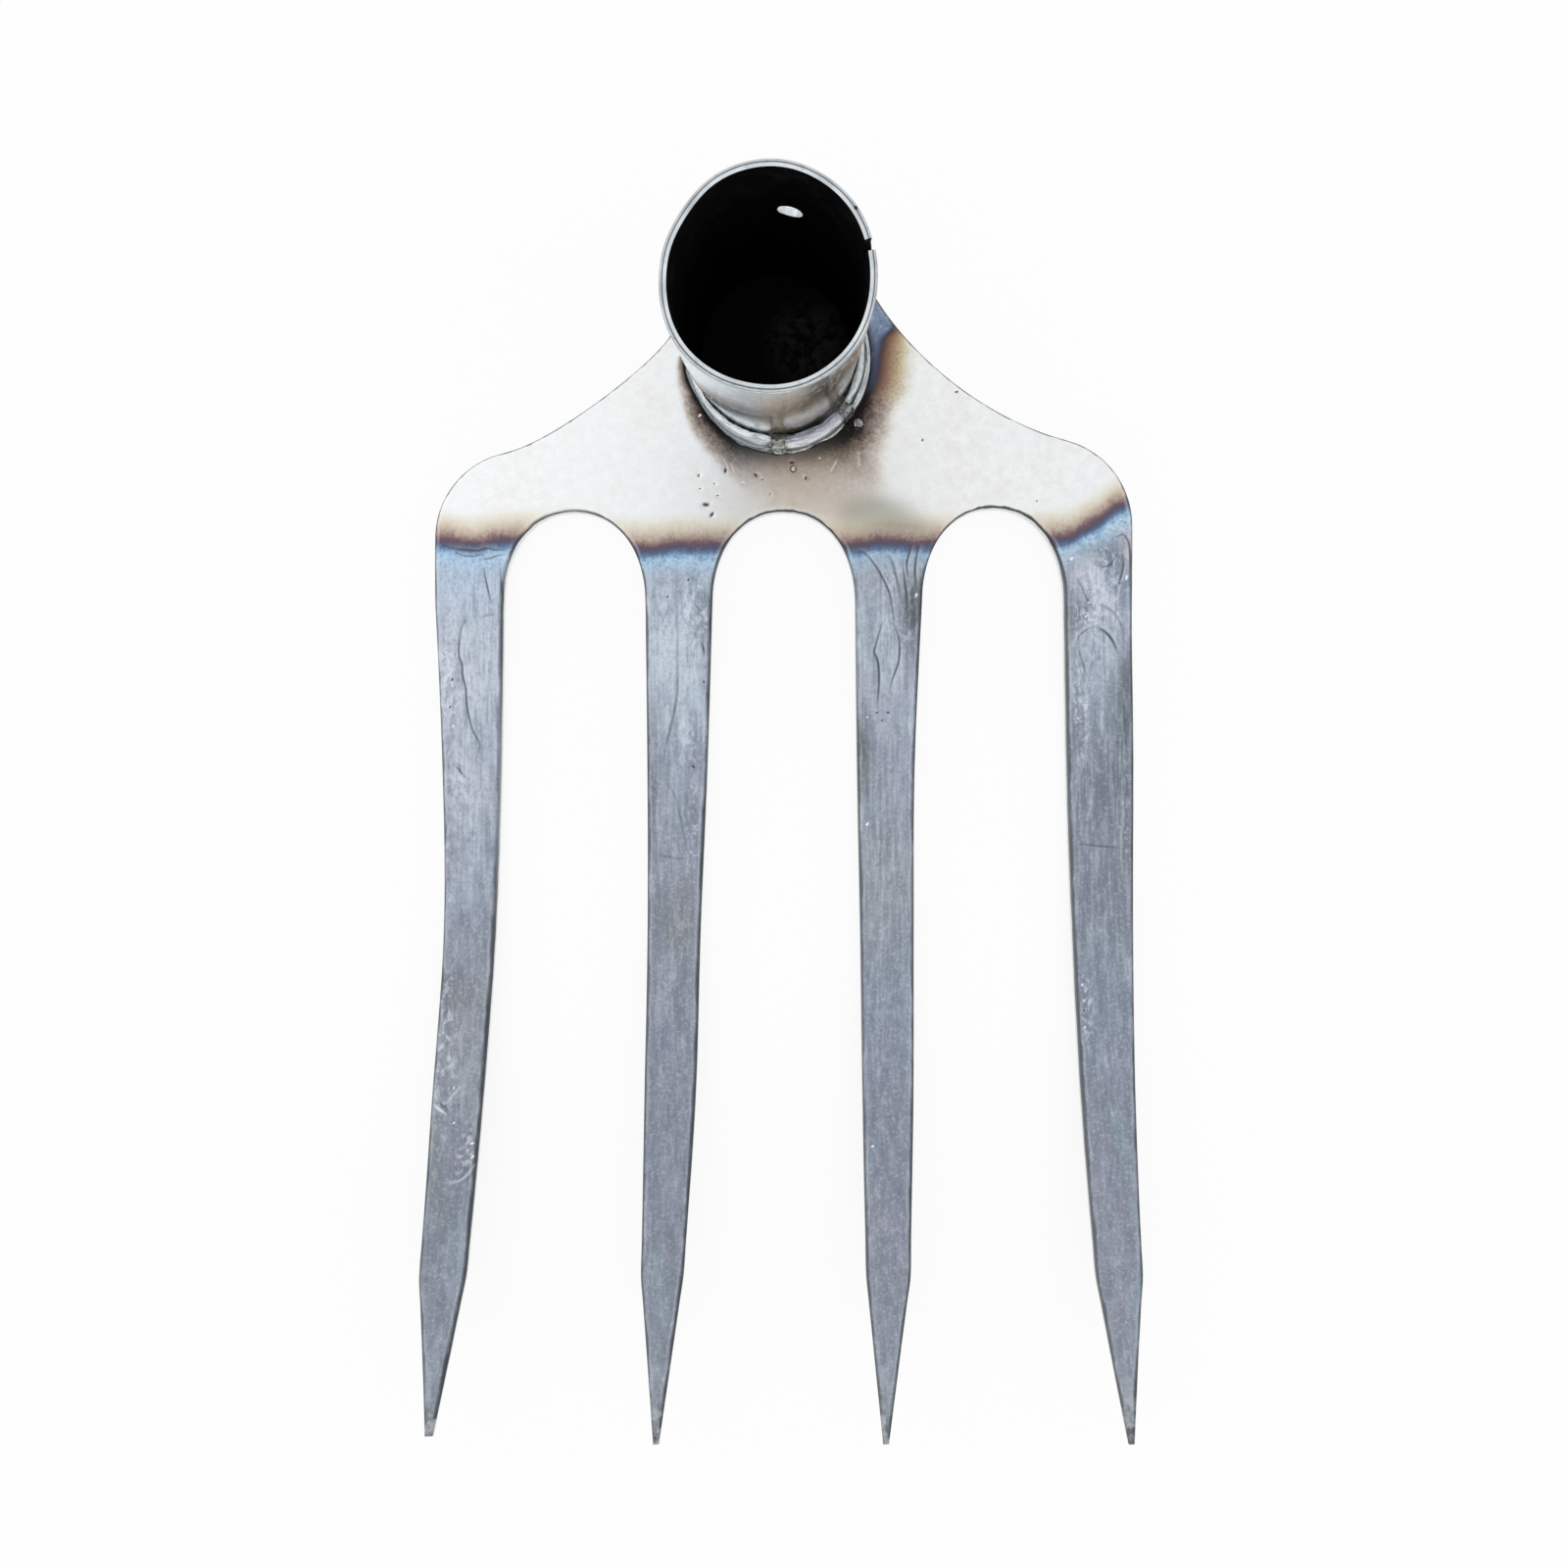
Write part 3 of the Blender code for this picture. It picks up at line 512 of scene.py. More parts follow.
def makeTinePlate(steel):
    outline = smoothLine(cadOutline("tine_plate"), plate["outlineStep"], closed=True)
    lowest, highest = ((np.array(corner[:2]) / mm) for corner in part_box("tine_plate"))
    outline = np.clip(outline, lowest + 0.01, highest - 0.01)
    forward = np.roll(outline, -1, axis=0) - np.roll(outline, 1, axis=0)
    forward /= np.linalg.norm(forward, axis=1)[:, None]
    inward = np.stack((-forward[:, 1], forward[:, 0]), axis=1)

    # fine samples of the outline tell every other point how far it is from the edge
    finer = 8
    shares = np.arange(finer)[:, None, None] / finer
    samples = outline + (np.roll(outline, -1, axis=0) - outline) * shares
    samples = samples.transpose(1, 0, 2).reshape(-1, 2)
    sampleOutward = np.repeat(-inward[:, 0], finer)
    edgeTree = flatTree(samples)

    # each point: x, y, height against the face, darkness, brightness
    points = [(x, y, 0.0, 0.0, 0.0) for x, y in outline]
    count = len(points)
    edges = [(i, (i + 1) % count) for i in range(count)]
    marks = [markLine(points, edges, **fold) for fold in forgingFolds.values()]
    for pit in surfacePits:
        markPit(points, *pit)
        marks.append(np.array([pit[:2]]))
    markTree = flatTree(np.concatenate(marks))
    besideMark = 0.62  # how near to a mark's line other points may stand

    def addIfFree(x, y, clearance):
        if edgeTree.find((x, y, 0))[2] >= clearance and markTree.find((x, y, 0))[2] > besideMark:
            points.append((x, y, 0.0, 0.0, 0.0))

    # rows along the rounded edge, each at an angle of its arc; one at less than 93 % of its row's
    # distance lies in a corner and is left out
    reach = edgeSizes(outline[:, 1], -inward[:, 0])[0]
    for turn in (28, 50, 70, 90, 118):
        offset = reach * (1 - math.cos(math.radians(turn)))
        for (x, y), far in zip(outline + inward * offset[:, None], offset):
            addIfFree(x, y, 0.93 * far)
    # an even grid of triangles between them, down to where the web is flat and needs no points
    step, rowHeight = plate["gridStep"], 0.866
    besideTineEdge, besideWebEdge, deepest = 2.6, 1.4, 30
    for row, y in enumerate(np.arange(lowest[1], highest[1], step * rowHeight)):
        for x in np.arange(lowest[0] + step / 2 * (row % 2), highest[0], step):
            index, distance = edgeTree.find((x, y, 0))[1:]
            if 1.3 < distance < deepest and insideOutline(samples, index, x, y):
                addIfFree(x, y, besideTineEdge if y < plate["springY"] else besideWebEdge)

    flat = [Vector(p[:2]) for p in points]
    verts, _, triangles, origins, _, _ = delaunay_2d_cdt(flat, edges, [], 1, 1e-5)
    known = np.array([points[o[0]] if o else (*v, 0, 0, 0) for v, o in zip(verts, origins)])
    x, y = known[:, 0], known[:, 1]
    found = [edgeTree.find((a, b, 0)) for a, b in zip(x, y)]
    nearest = np.array([f[1] for f in found])
    distance = np.array([f[2] for f in found])

    def edgeDrop(back):
        reach, drop = edgeSizes(samples[nearest, 1], sampleOutward[nearest], back)
        inside = np.clip(1 - distance / reach, 0, 1)
        return drop * (1 - np.sqrt(1 - inside**2))

    length = plate["dentLength"]
    forged = smoothStep(-44, -56, y)
    dents = np.array([wobble(a / length * 2, b / length) + 0.4 * wobble(a / 2, b / 4, 7)
                      for a, b in zip(x, y)])
    backDents = np.array([abs(wobble(a / 6, b / 8, 3)) for a, b in zip(x, y)])
    top = plateRise(y) + plateThickness(y) - edgeDrop(False) + known[:, 2]
    top += plate["dentDepth"] * (dents - 0.6) * forged
    bottom = plateRise(y) + edgeDrop(True) + plate["dentDepth"] * backDents * forged
    total = len(verts)
    ring = [i for i, o in enumerate(origins) if o and o[0] < count]
    ring.sort(key=lambda i: origins[i][0])
    faces = [tuple(t) for t in triangles]
    faces += [(c + total, b + total, a + total) for a, b, c in triangles]
    for a, b in zip(ring, ring[1:] + ring[:1]):
        faces.append((b, a, a + total, b + total))
    cloud = np.concatenate((np.column_stack((x, y, top)), np.column_stack((x, y, bottom))))
    piece = addPiece("tinePlateForging", cloud, faces, [steel], "tine_plate")
    # for the finish: dark and bright marks with the front's share, stains, and the way to the edge
    front = np.column_stack((known[:, 3], known[:, 4], np.ones(total), softPatches(x, y, crumples)))
    back = np.tile((0.0, 0.0, 0.0, 0.0), (total, 1))
    stained = stainColors(x, y)
    unstained = stained * (1, 1, 1, 0)
    edgeDarkKept = 1 - softPatches(x, y, paleEdges)
    toEdge = np.column_stack((np.minimum(distance, 8), sampleOutward[nearest], edgeDarkKept))
    for name, values in (("marks", (front, back)), ("stains", (stained, unstained))):
        layer = piece.data.color_attributes.new(name, "FLOAT_COLOR", "POINT")
        layer.data.foreach_set("color", np.concatenate(values).ravel())
    layer = piece.data.attributes.new("edge", "FLOAT_VECTOR", "POINT")
    layer.data.foreach_set("vector", np.concatenate((toEdge, toEdge)).ravel())
    print("tine plate:", len(faces), "faces")
    return piece


# The socket tube: a sheet rolled round until its two edges meet in a seam
tube = {
    "outside": 18.8,
    "wall": 1.3,
    "length": 77.0,
    "footX": -1.9,
    "lean": 11.3,
    "sideLean": 0.4,
    "seamAngle": 17.0,
    "seamGap": 0.08,  # the edges all but touch below the notch
    "notchWidth": 2.0,
    "notchDepth": 4.0,
    "rimLand": 0.75,  # the flat of the sawn rim, inside its filed outer edge
    "rimBevelHeight": 0.45,
    "rimNick": (36.9, 0.35),  # angle, and how far in from the outer wall
    "seamStep": 0.12,  # one edge of the sheet stands proud of the other near the rim
    # hand rolling left the sheet out of round: angle, millimetres at the rim and halfway up, half width
    "outOfRound": ((212, 0.75, 1.1, 30), (145, -0.4, 0.0, 20),
                   (3, -0.35, -0.2, 20), (262, 0.0, 0.2, 20)),
    "holeAngle": 78.3,
    "holeDiameter": 5.4,
    "holeTear": 1.12,  # punching has drawn it out this much along the tube
    "holeBelowRim": 23.9,
    "burrHeight": 0.22,  # the punched hole has a low lip inside
    "columns": 240,
    "rows": 90,
}


def tubeAxes():
    foot = np.array((tube["footX"], 0, plate["thickness"]))
    sideways, forward = (math.tan(math.radians(tube[lean])) for lean in ("sideLean", "lean"))
    along = np.array((-sideways, -forward, 1))
    along /= np.linalg.norm(along)
    across = np.cross((0, 1, 0), along)
    across /= np.linalg.norm(across)
    return foot, across, np.cross(along, across), along


def roundTube(angle, radius, height):
    # points at an angle round the tube, this far from its axis and this high above the plate's face
    foot, across, back, along = tubeAxes()
    turn = np.radians(angle)[..., None]
    side = foot + radius[..., None] * (np.cos(turn) * across + np.sin(turn) * back)
    return side + along * ((plate["thickness"] + height - side[..., 2]) / along[2])[..., None]


def makeSocketTube(steel, rimSteel, bore):
    foot, across, back, along = tubeAxes()
    columns, length = tube["columns"], tube["length"]
    outside, inside = tube["outside"], tube["outside"] - tube["wall"]
    share = np.linspace(0, 1, columns + 1)[:, None]
    bevelStart = length - tube["rimBevelHeight"]
    bevelRows = np.linspace(bevelStart, length, 5)[1:]
    height = np.concatenate((np.linspace(0, bevelStart, tube["rows"]), bevelRows))[None, :]
    notch = smoothStep(length - tube["notchDepth"] - 0.6, length - tube["notchDepth"] + 0.9, height)
    halfGap = (tube["seamGap"] + (tube["notchWidth"] - tube["seamGap"]) * notch) / 2
    halfTurn = np.degrees(halfGap / outside)
    angle = tube["seamAngle"] + halfTurn + (360 - 2 * halfTurn) * share
    height = np.tile(height, (columns + 1, 1))

    # the punched hole: nearby points move on to its round edge
    arc = np.radians(angle - tube["holeAngle"]) * outside
    up = (height - (length - tube["holeBelowRim"])) / tube["holeTear"]
    away = np.hypot(arc, up)
    holeRadius = tube["holeDiameter"] / 2
    cells = (away[:-1, :-1] + away[1:, 1:] + away[1:, :-1] + away[:-1, 1:]) / 4
    kept = cells > holeRadius
    onEdge = np.zeros(away.shape, bool)
    near = np.zeros(away.shape, bool)
    for di in (0, 1):
        for dj in (0, 1):
            onEdge[di:columns + di, dj:away.shape[1] - 1 + dj] |= ~kept
            near[di:columns + di, dj:away.shape[1] - 1 + dj] |= kept
    onEdge &= near
    pull = np.where(onEdge, holeRadius / np.maximum(away, 0.1), 1)
    angle = tube["holeAngle"] + np.degrees(arc * pull / outside)
    height = up * pull * tube["holeTear"] + (length - tube["holeBelowRim"])
    away = np.where(onEdge, holeRadius, away)
    burr = tube["burrHeight"] * np.exp(-np.maximum(away - holeRadius, 0) / 0.7)
    ragged = np.array([[wobble(a / 12, h / 1.5) for a, h in zip(*pair)] for pair in zip(angle, height)])
    burr *= 1 + 0.5 * ragged

    # hand rolling leaves the wall out of round, and flatter beside the seam
    fromSeam = (angle - tube["seamAngle"]) % 360
    level = height / length
    upper = smoothStep(0.3, 1.0, level)
    flatter = np.exp(-fromSeam / 16) + np.exp(-(360 - fromSeam) / 16)
    proud = tube["seamStep"] * np.exp(-((360 - fromSeam) / 30) ** 2) * upper
    ripple = 0.03 * np.sin(np.radians(angle * 5 + 40)) + 0.02 * np.sin(np.radians(angle * 9 + 70))
    uneven = (ripple - 0.05 * flatter + proud) * upper
    for center, atRim, halfway, halfWidth in tube["outOfRound"]:
        apart = (angle - center + 180) % 360 - 180
        bulge = smoothStep(0.04, 0.5, level) * (halfway + (atRim - halfway) * smoothStep(0.5, 1, level))
        uneven += bulge * np.exp(-((apart / halfWidth) ** 2))
    toRim = np.clip((height - (length - tube["rimBevelHeight"])) / tube["rimBevelHeight"], 0, 1)
    bevel = (tube["wall"] - tube["rimLand"]) * toRim**1.5

    def place(angles, radius, heights):
        # the leaning tube's foot is cut level with the plate, and the rows above it crowd together
        turn = np.radians(angles)[..., None]
        base = foot + radius[..., None] * (np.cos(turn) * across + np.sin(turn) * back)
        start = (plate["thickness"] - base[..., 2]) / along[2]
        distance = np.maximum(heights, start + heights * 0.12)
        return base + along * distance[..., None]

    outer = place(angle, outside + uneven - bevel - burr * 0.5, height)
    inner = place(angle, inside + uneven - burr, height)
    # the rim's flat, in rings from the filed edge in to the bore
    land = np.array((0.08, 0.25, 0.5, 0.75, 0.92))[None, :]
    landRadius = outside - tube["wall"] + tube["rimLand"] * (1 - land) + uneven[:, -1:]
    landHeight = height[:, -1:] + 0 * landRadius
    rings = place(angle[:, -1:], landRadius, landHeight)

    grid = np.concatenate((outer.reshape(-1, 3), inner.reshape(-1, 3), rings.reshape(-1, 3)))
    perColumn = away.shape[1]
    total = away.size

    def index(i, j, layer):
        if layer == 2:
            return 2 * total + i * land.size + j
        return layer * total + i * perColumn + j

    faces, finish = [], []
    sheetSide, cutSteel, boreSide = 0, 1, 2  # places in the list of finishes

    def addFace(kind, *corners):
        faces.append(corners)
        finish.append(kind)

    for i in range(columns):
        for j in range(perColumn - 1):
            if not kept[i, j]:
                continue
            corners = ((i, j), (i + 1, j), (i + 1, j + 1), (i, j + 1))
            bevelled = height[i, j] > length - tube["rimBevelHeight"] - 0.01
            addFace(cutSteel if bevelled else sheetSide, *(index(*c, 0) for c in corners))
            addFace(boreSide, *(index(*c, 1) for c in reversed(corners)))
            sides = (((i, j), (i + 1, j), i, j - 1), ((i + 1, j), (i + 1, j + 1), i + 1, j),
                     ((i + 1, j + 1), (i, j + 1), i, j + 1), ((i, j + 1), (i, j), i - 1, j))
            for a, b, ni, nj in sides:
                if nj == perColumn - 1 or 0 <= ni < columns and 0 <= nj and kept[ni, nj]:
                    continue
                # the seam's sides take the bore's near-black finish, painted shade in the slit
                side = cutSteel if 0 <= ni < columns else boreSide  # the seam is black as the bore
                addFace(side, index(*b, 0), index(*a, 0), index(*a, 1), index(*b, 1))
        last = perColumn - 1
        ladder = [(last, 0), *((j, 2) for j in range(land.size)), (last, 1)]
        for (j, layer), (nextJ, nextLayer) in zip(ladder, ladder[1:]):
            addFace(cutSteel, index(i, j, layer), index(i + 1, j, layer),
                    index(i + 1, nextJ, nextLayer), index(i, nextJ, nextLayer))
    for i in (0, columns):  # the sheet's two ends, at the rim
        loop = [index(i, last, 0), *(index(i, j, 2) for j in range(land.size)), index(i, last, 1)]
        addFace(boreSide, *(loop if i else reversed(loop)))
    finishes = [steel, rimSteel, bore]
    piece = addPiece("socketTubeSheet", grid, faces, finishes, "socket_tube", finish)
    # for the finishes: how far round, how far up, and how far in from the outer wall
    layer = piece.data.attributes.new("sheet", "FLOAT_VECTOR", "POINT")
    arc = np.radians(angle) * outside
    outerPlace = np.stack((arc, height, bevel), axis=-1).reshape(-1, 3)
    innerPlace = np.stack((arc, height, 0 * arc + tube["wall"]), axis=-1).reshape(-1, 3)
    landIn = tube["wall"] - tube["rimLand"] * (1 - land) + 0 * landHeight
    landPlace = np.stack((arc[:, -1:] + 0 * landIn, landHeight, landIn), axis=-1).reshape(-1, 3)
    layer.data.foreach_set("vector", np.concatenate((outerPlace, innerPlace, landPlace)).ravel())
    piece.data.set_sharp_from_angle(angle=math.radians(35))
    print("socket tube:", len(faces), "faces")
    return piece


# The weld's runs round the foot. A strand is a raised bead along the run: its slope in the
# corner between plate and tube, its height as a share of the leg, and its width in degrees.
# The leg on the plate may grow along the run. The tones go from the plate, at 0, to the tube, at 1;
# besides the metal's own colours they paint highlights along the strands, and shade and dark
# reflections between them and where the bead meets the tube.
weld = {
    "leg": 4.75,
    "crown": 0.12,
    "step": 0.28,
    "facePoints": 30,
    "ripplePitch": 1.1,
    "rippleHeight": 0.005,
    "intoTube": 0.05,  # how far the bead's back reaches into the tube and into the plate
    "intoPlate": 0.03,
}
weldRuns = {
    "weld_left": {
        "angles": (172, 267), "slopes": (0, 90), "seed": 1,
        "legShares": (0.35, 0.62, 0.50, 0.60, 0.80, 0.94),
        "strands": ((22, 0.05, 14), (60, 0.13, 12)), "valleys": ((42, 0.08, 6),),
        "tones": ((0.0, "#1A1C1E"), (0.04, "#2E3336"), (0.07, "#D2DBDF"), (0.13, "#9AA6AD"),
                  (0.26, "#CBD5DA"), (0.36, "#8A969D"), (0.42, "#4C555B"), (0.48, "#DFE8EC"),
                  (0.58, "#F8FCFE"), (0.68, "#BCC7CD"), (0.74, "#F5FAFD"), (0.88, "#E6EEF1"),
                  (0.92, "#3A3F42"), (0.95, "#0C0D0E"), (1.0, "#08090A")),
        "slag": 0.2, "dusk": (0.0, 0.0, "#8B9396"),
    },
    "weld_front": {
        "angles": (276, 316), "slopes": (0, 90), "seed": 2, "legShares": (0.94, 1.0, 1.0, 0.98),
        "strands": ((46, 0.08, 28), (32, 0.03, 7), (52, 0.04, 8)),
        "valleys": ((10, 0.05, 5), (78, 0.08, 8)),
        "tones": ((0.0, "#1B1C1E"), (0.035, "#4B4F4F"), (0.06, "#F0F2EA"), (0.1, "#8E9492"),
                  (0.2, "#8C9393"), (0.32, "#D6DCE0"), (0.42, "#F3F6F9"), (0.56, "#E9EDF3"),
                  (0.62, "#878CA0"), (0.69, "#D3D7E0"), (0.76, "#6D7284"), (0.82, "#A9ADB9"),
                  (0.87, "#33363A"), (0.91, "#0F1012"), (1.0, "#08090A")),
        "slag": 0.15, "dusk": (-0.25, 0.2, "#A6AAB6"),
    },
    "weld_right_outer": {
        "angles": (325, 405), "slopes": (0, 44), "seed": 3, "legShares": (0.92, 0.86, 0.76, 0.68, 0.6),
        "strands": ((24, 0.14, 13),), "valleys": (),
        "tones": ((0.0, "#0F1011"), (0.04, "#4E5457"), (0.1, "#B9C3C8"), (0.2, "#FAFCFC"),
                  (0.3, "#E4EAEC"), (0.36, "#8C959A"), (0.4, "#DDE4E7"), (0.45, "#666D72"),
                  (0.49, "#24282A"), (1.0, "#24282A")),
        "slag": 0.15, "dusk": (0.0, 0.05, "#8B9396"),
    },
    "weld_right_inner": {
        "angles": (325, 405), "slopes": (44, 90), "seed": 4, "legShares": (0.92, 0.86, 0.76, 0.68, 0.6),
        "strands": ((66, 0.14, 12),), "valleys": (),
        "tones": ((0.0, "#2A2F32"), (0.50, "#33383B"), (0.56, "#9DA6AA"), (0.66, "#F4F7F8"),
                  (0.80, "#C9D1D5"), (0.88, "#7A8286"), (0.93, "#1E2122"), (1.0, "#0A0B0C")),
        "slag": 0.2, "dusk": (0.0, 0.1, "#7F8689"),
    },
    "weld_rear": {
        "angles": (405, 532), "slopes": (0, 90), "seed": 5, "legShares": (0.6, 0.8, 0.9, 0.8, 0.5, 0.3),
        "strands": ((45, 0.08, 32),), "valleys": (),
        "tones": ((0.0, "#101112"), (0.07, "#3F464C"), (0.16, "#8A949C"), (0.45, "#CDD5DA"),
                  (0.75, "#A0A9B0"), (0.92, "#4D5358"), (1.0, "#17191A")),
        "slag": 0.4, "dusk": (0.0, 0.0, "#8B9396"),
    },
    "weld_stop_front": {
        "angles": (265.5, 277), "slopes": (0, 90), "seed": 6, "legShares": (0.9, 1.0, 0.97),
        "swell": 0.04, "rough": 0.06, "strands": ((35, 0.06, 14),), "valleys": ((62, 0.06, 12),),
        "tones": ((0.0, "#151617"), (0.05, "#5C5F60"), (0.12, "#D5D8D6"), (0.25, "#9A9D9B"),
                  (0.42, "#CDD1D0"), (0.56, "#8B8C85"), (0.72, "#A5A69E"), (0.84, "#5A584F"),
                  (1.0, "#0A0B0C")),
        "slag": 0.95, "dusk": (0.0, 0.0, "#8B9396"),
    },
    "weld_stop_right": {
        "angles": (315, 326.5), "slopes": (0, 90), "seed": 7, "legShares": (0.98, 1.0, 0.92),
        "swell": 0.04, "rough": 0.07, "strands": ((30, 0.05, 14),), "valleys": ((58, 0.06, 12),),
        "tones": ((0.0, "#0C0D0E"), (0.06, "#2E3133"), (0.16, "#9CA1A2"), (0.3, "#5B5F61"),
                  (0.46, "#A7ACAD"), (0.6, "#5E615F"), (0.78, "#85857E"), (0.9, "#33332F"),
                  (1.0, "#0A0B0C")),
        "slag": 0.95, "dusk": (0.0, 0.0, "#8B9396"),
    },
}


def makeWeldRun(node):
    run = weldRuns[node]
    start, end = run["angles"]
    low, high = run["slopes"]
    arcLength = math.radians(end - start) * tube["outside"]
    sections = max(12, round(arcLength / weld["step"]))
    along = np.linspace(0, 1, sections + 1)[:, None]
    slope = np.linspace(low, high, weld["facePoints"])[None, :]
    distance = along * arcLength
    turn = np.radians(slope)
    shape = 1 + weld["crown"] * np.sin(2 * turn)
    for center, height, width in run["strands"]:
        shape = shape + height * np.exp(-(((slope - center) / width) ** 2))
    for center, depth, width in run["valleys"]:
        shape = shape - depth * np.exp(-(((slope - center) / width) ** 2))
    seed = run["seed"] * 10
    rough = run.get("rough", 0.004)
    shape = np.tile(shape, (sections + 1, 1))
    for i in range(sections + 1):
        for k in range(weld["facePoints"]):
            d, s = distance[i, 0], slope[0, k]
            shape[i, k] += 0.03 * wobble(d / 6, s / 40, seed)  # an unsteady hand
            shape[i, k] += 0.012 * wobble(d / 11, s / 9, seed + 3)  # long streaks in the melt
            shape[i, k] += rough * wobble(d / 0.9, s / 14, seed + 6)
            bow = 1.1 * (1 - ((s - (low + high) / 2) / (high - low) * 2) ** 2)
            shape[i, k] += weld["rippleHeight"] * math.sin(math.tau * (d + bow) / weld["ripplePitch"])
    shape += run.get("swell", 0) * np.sin(np.pi * along)
    # the two ends of the section stay on the plate and on the tube
    legs = np.interp(along, np.linspace(0, 1, len(run["legShares"])), run["legShares"])
    plain = weld["leg"] / (np.cos(turn) / legs + np.sin(turn))
    hold = smoothStep(0, 8, slope) * smoothStep(90, 82, slope)
    reach = plain * (1 + (shape - 1) * (0.25 + 0.75 * hold))
    angle = start + (end - start) * along + 0 * slope
    if "rough" in run:  # a stop's two sides run ragged over the strands beside it
        lean = np.array([wobble(s / 11, seed) for s in slope[0]])[None, :]
        angle += 3.2 * lean * np.sin(np.pi * np.clip(slope / 90, 0.1, 1))
    wall, low = tube["outside"] - weld["intoTube"], -weld["intoPlate"]
    face = roundTube(angle, wall + reach * np.cos(turn), reach * np.sin(turn) + low)
    column = np.zeros((sections + 1, 1))
    corner = roundTube(angle[:, :1], column + wall, column + low)
    grid = np.concatenate((face, corner), axis=1)
    width = weld["facePoints"] + 1
    faces = []
    for i in range(sections):
        for k in range(width):
            n = (k + 1) % width
            faces.append((i * width + k, i * width + n, (i + 1) * width + n, (i + 1) * width + k))
    last = sections * width
    faces.append(tuple(range(width))[::-1])
    faces.append(tuple(range(last, last + width)))
    metal = meltedWeldMetal(node.replace("weld_", "meltedSteel_"), run, arcLength)
    name = node.replace("weld_", "weldBead_")
    piece = addPiece(name, grid.reshape(-1, 3), faces, [metal], node)
    # for the finish: the way along the run, the slope, and how far the nearer end is
    toEnd = np.minimum(distance, arcLength - distance)
    spread = np.stack(np.broadcast_arrays(distance, slope, toEnd), axis=-1)
    layer = piece.data.attributes.new("bead", "FLOAT_VECTOR", "POINT")
    layer.data.foreach_set("vector", np.concatenate((spread, spread[:, :1]), axis=1).ravel())
    piece.data.set_sharp_from_angle(angle=math.radians(60))
    return piece


# Balls of spatter: they froze where they struck the plate
spatter = {
    "spatter_front": {"angle": -81.0, "offToe": 3.4, "diameter": 1.4},
    "spatter_right": {"angle": -39.8, "offToe": 1.8, "diameter": 2.4},
}


def makeSpatter(node, metal):
    ball = spatter[node]
    radius = ball["diameter"] / 2
    out = tube["outside"] + 4.8 + ball["offToe"]
    spot = roundTube(np.array([ball["angle"]]), np.array([out]), np.array([0.0]))[0]
    shape = bmesh.new()
    bmesh.ops.create_icosphere(shape, subdivisions=4, radius=radius)
    for vert in shape.verts:
        vert.co *= 1 + 0.10 * noise.noise(vert.co * 1.6 + Vector((out, 0, 0)))
        level = vert.co.z / radius
        if level < -0.35:  # the foot spreads out into a thin collar
            spread = 1 + 0.5 * min(1, (-0.35 - level) / 0.25)
            vert.co.x *= spread
            vert.co.y *= spread
        vert.co.z = max(vert.co.z, -0.6 * radius)
        vert.co += Vector((spot[0], spot[1], plate["thickness"] + 0.58 * radius))
    points = [tuple(v.co) for v in shape.verts]
    faces = [[v.index for v in f.verts] for f in shape.faces]
    shape.free()
    return addPiece(node.replace("_", "Bead_"), points, faces, [metal], node)


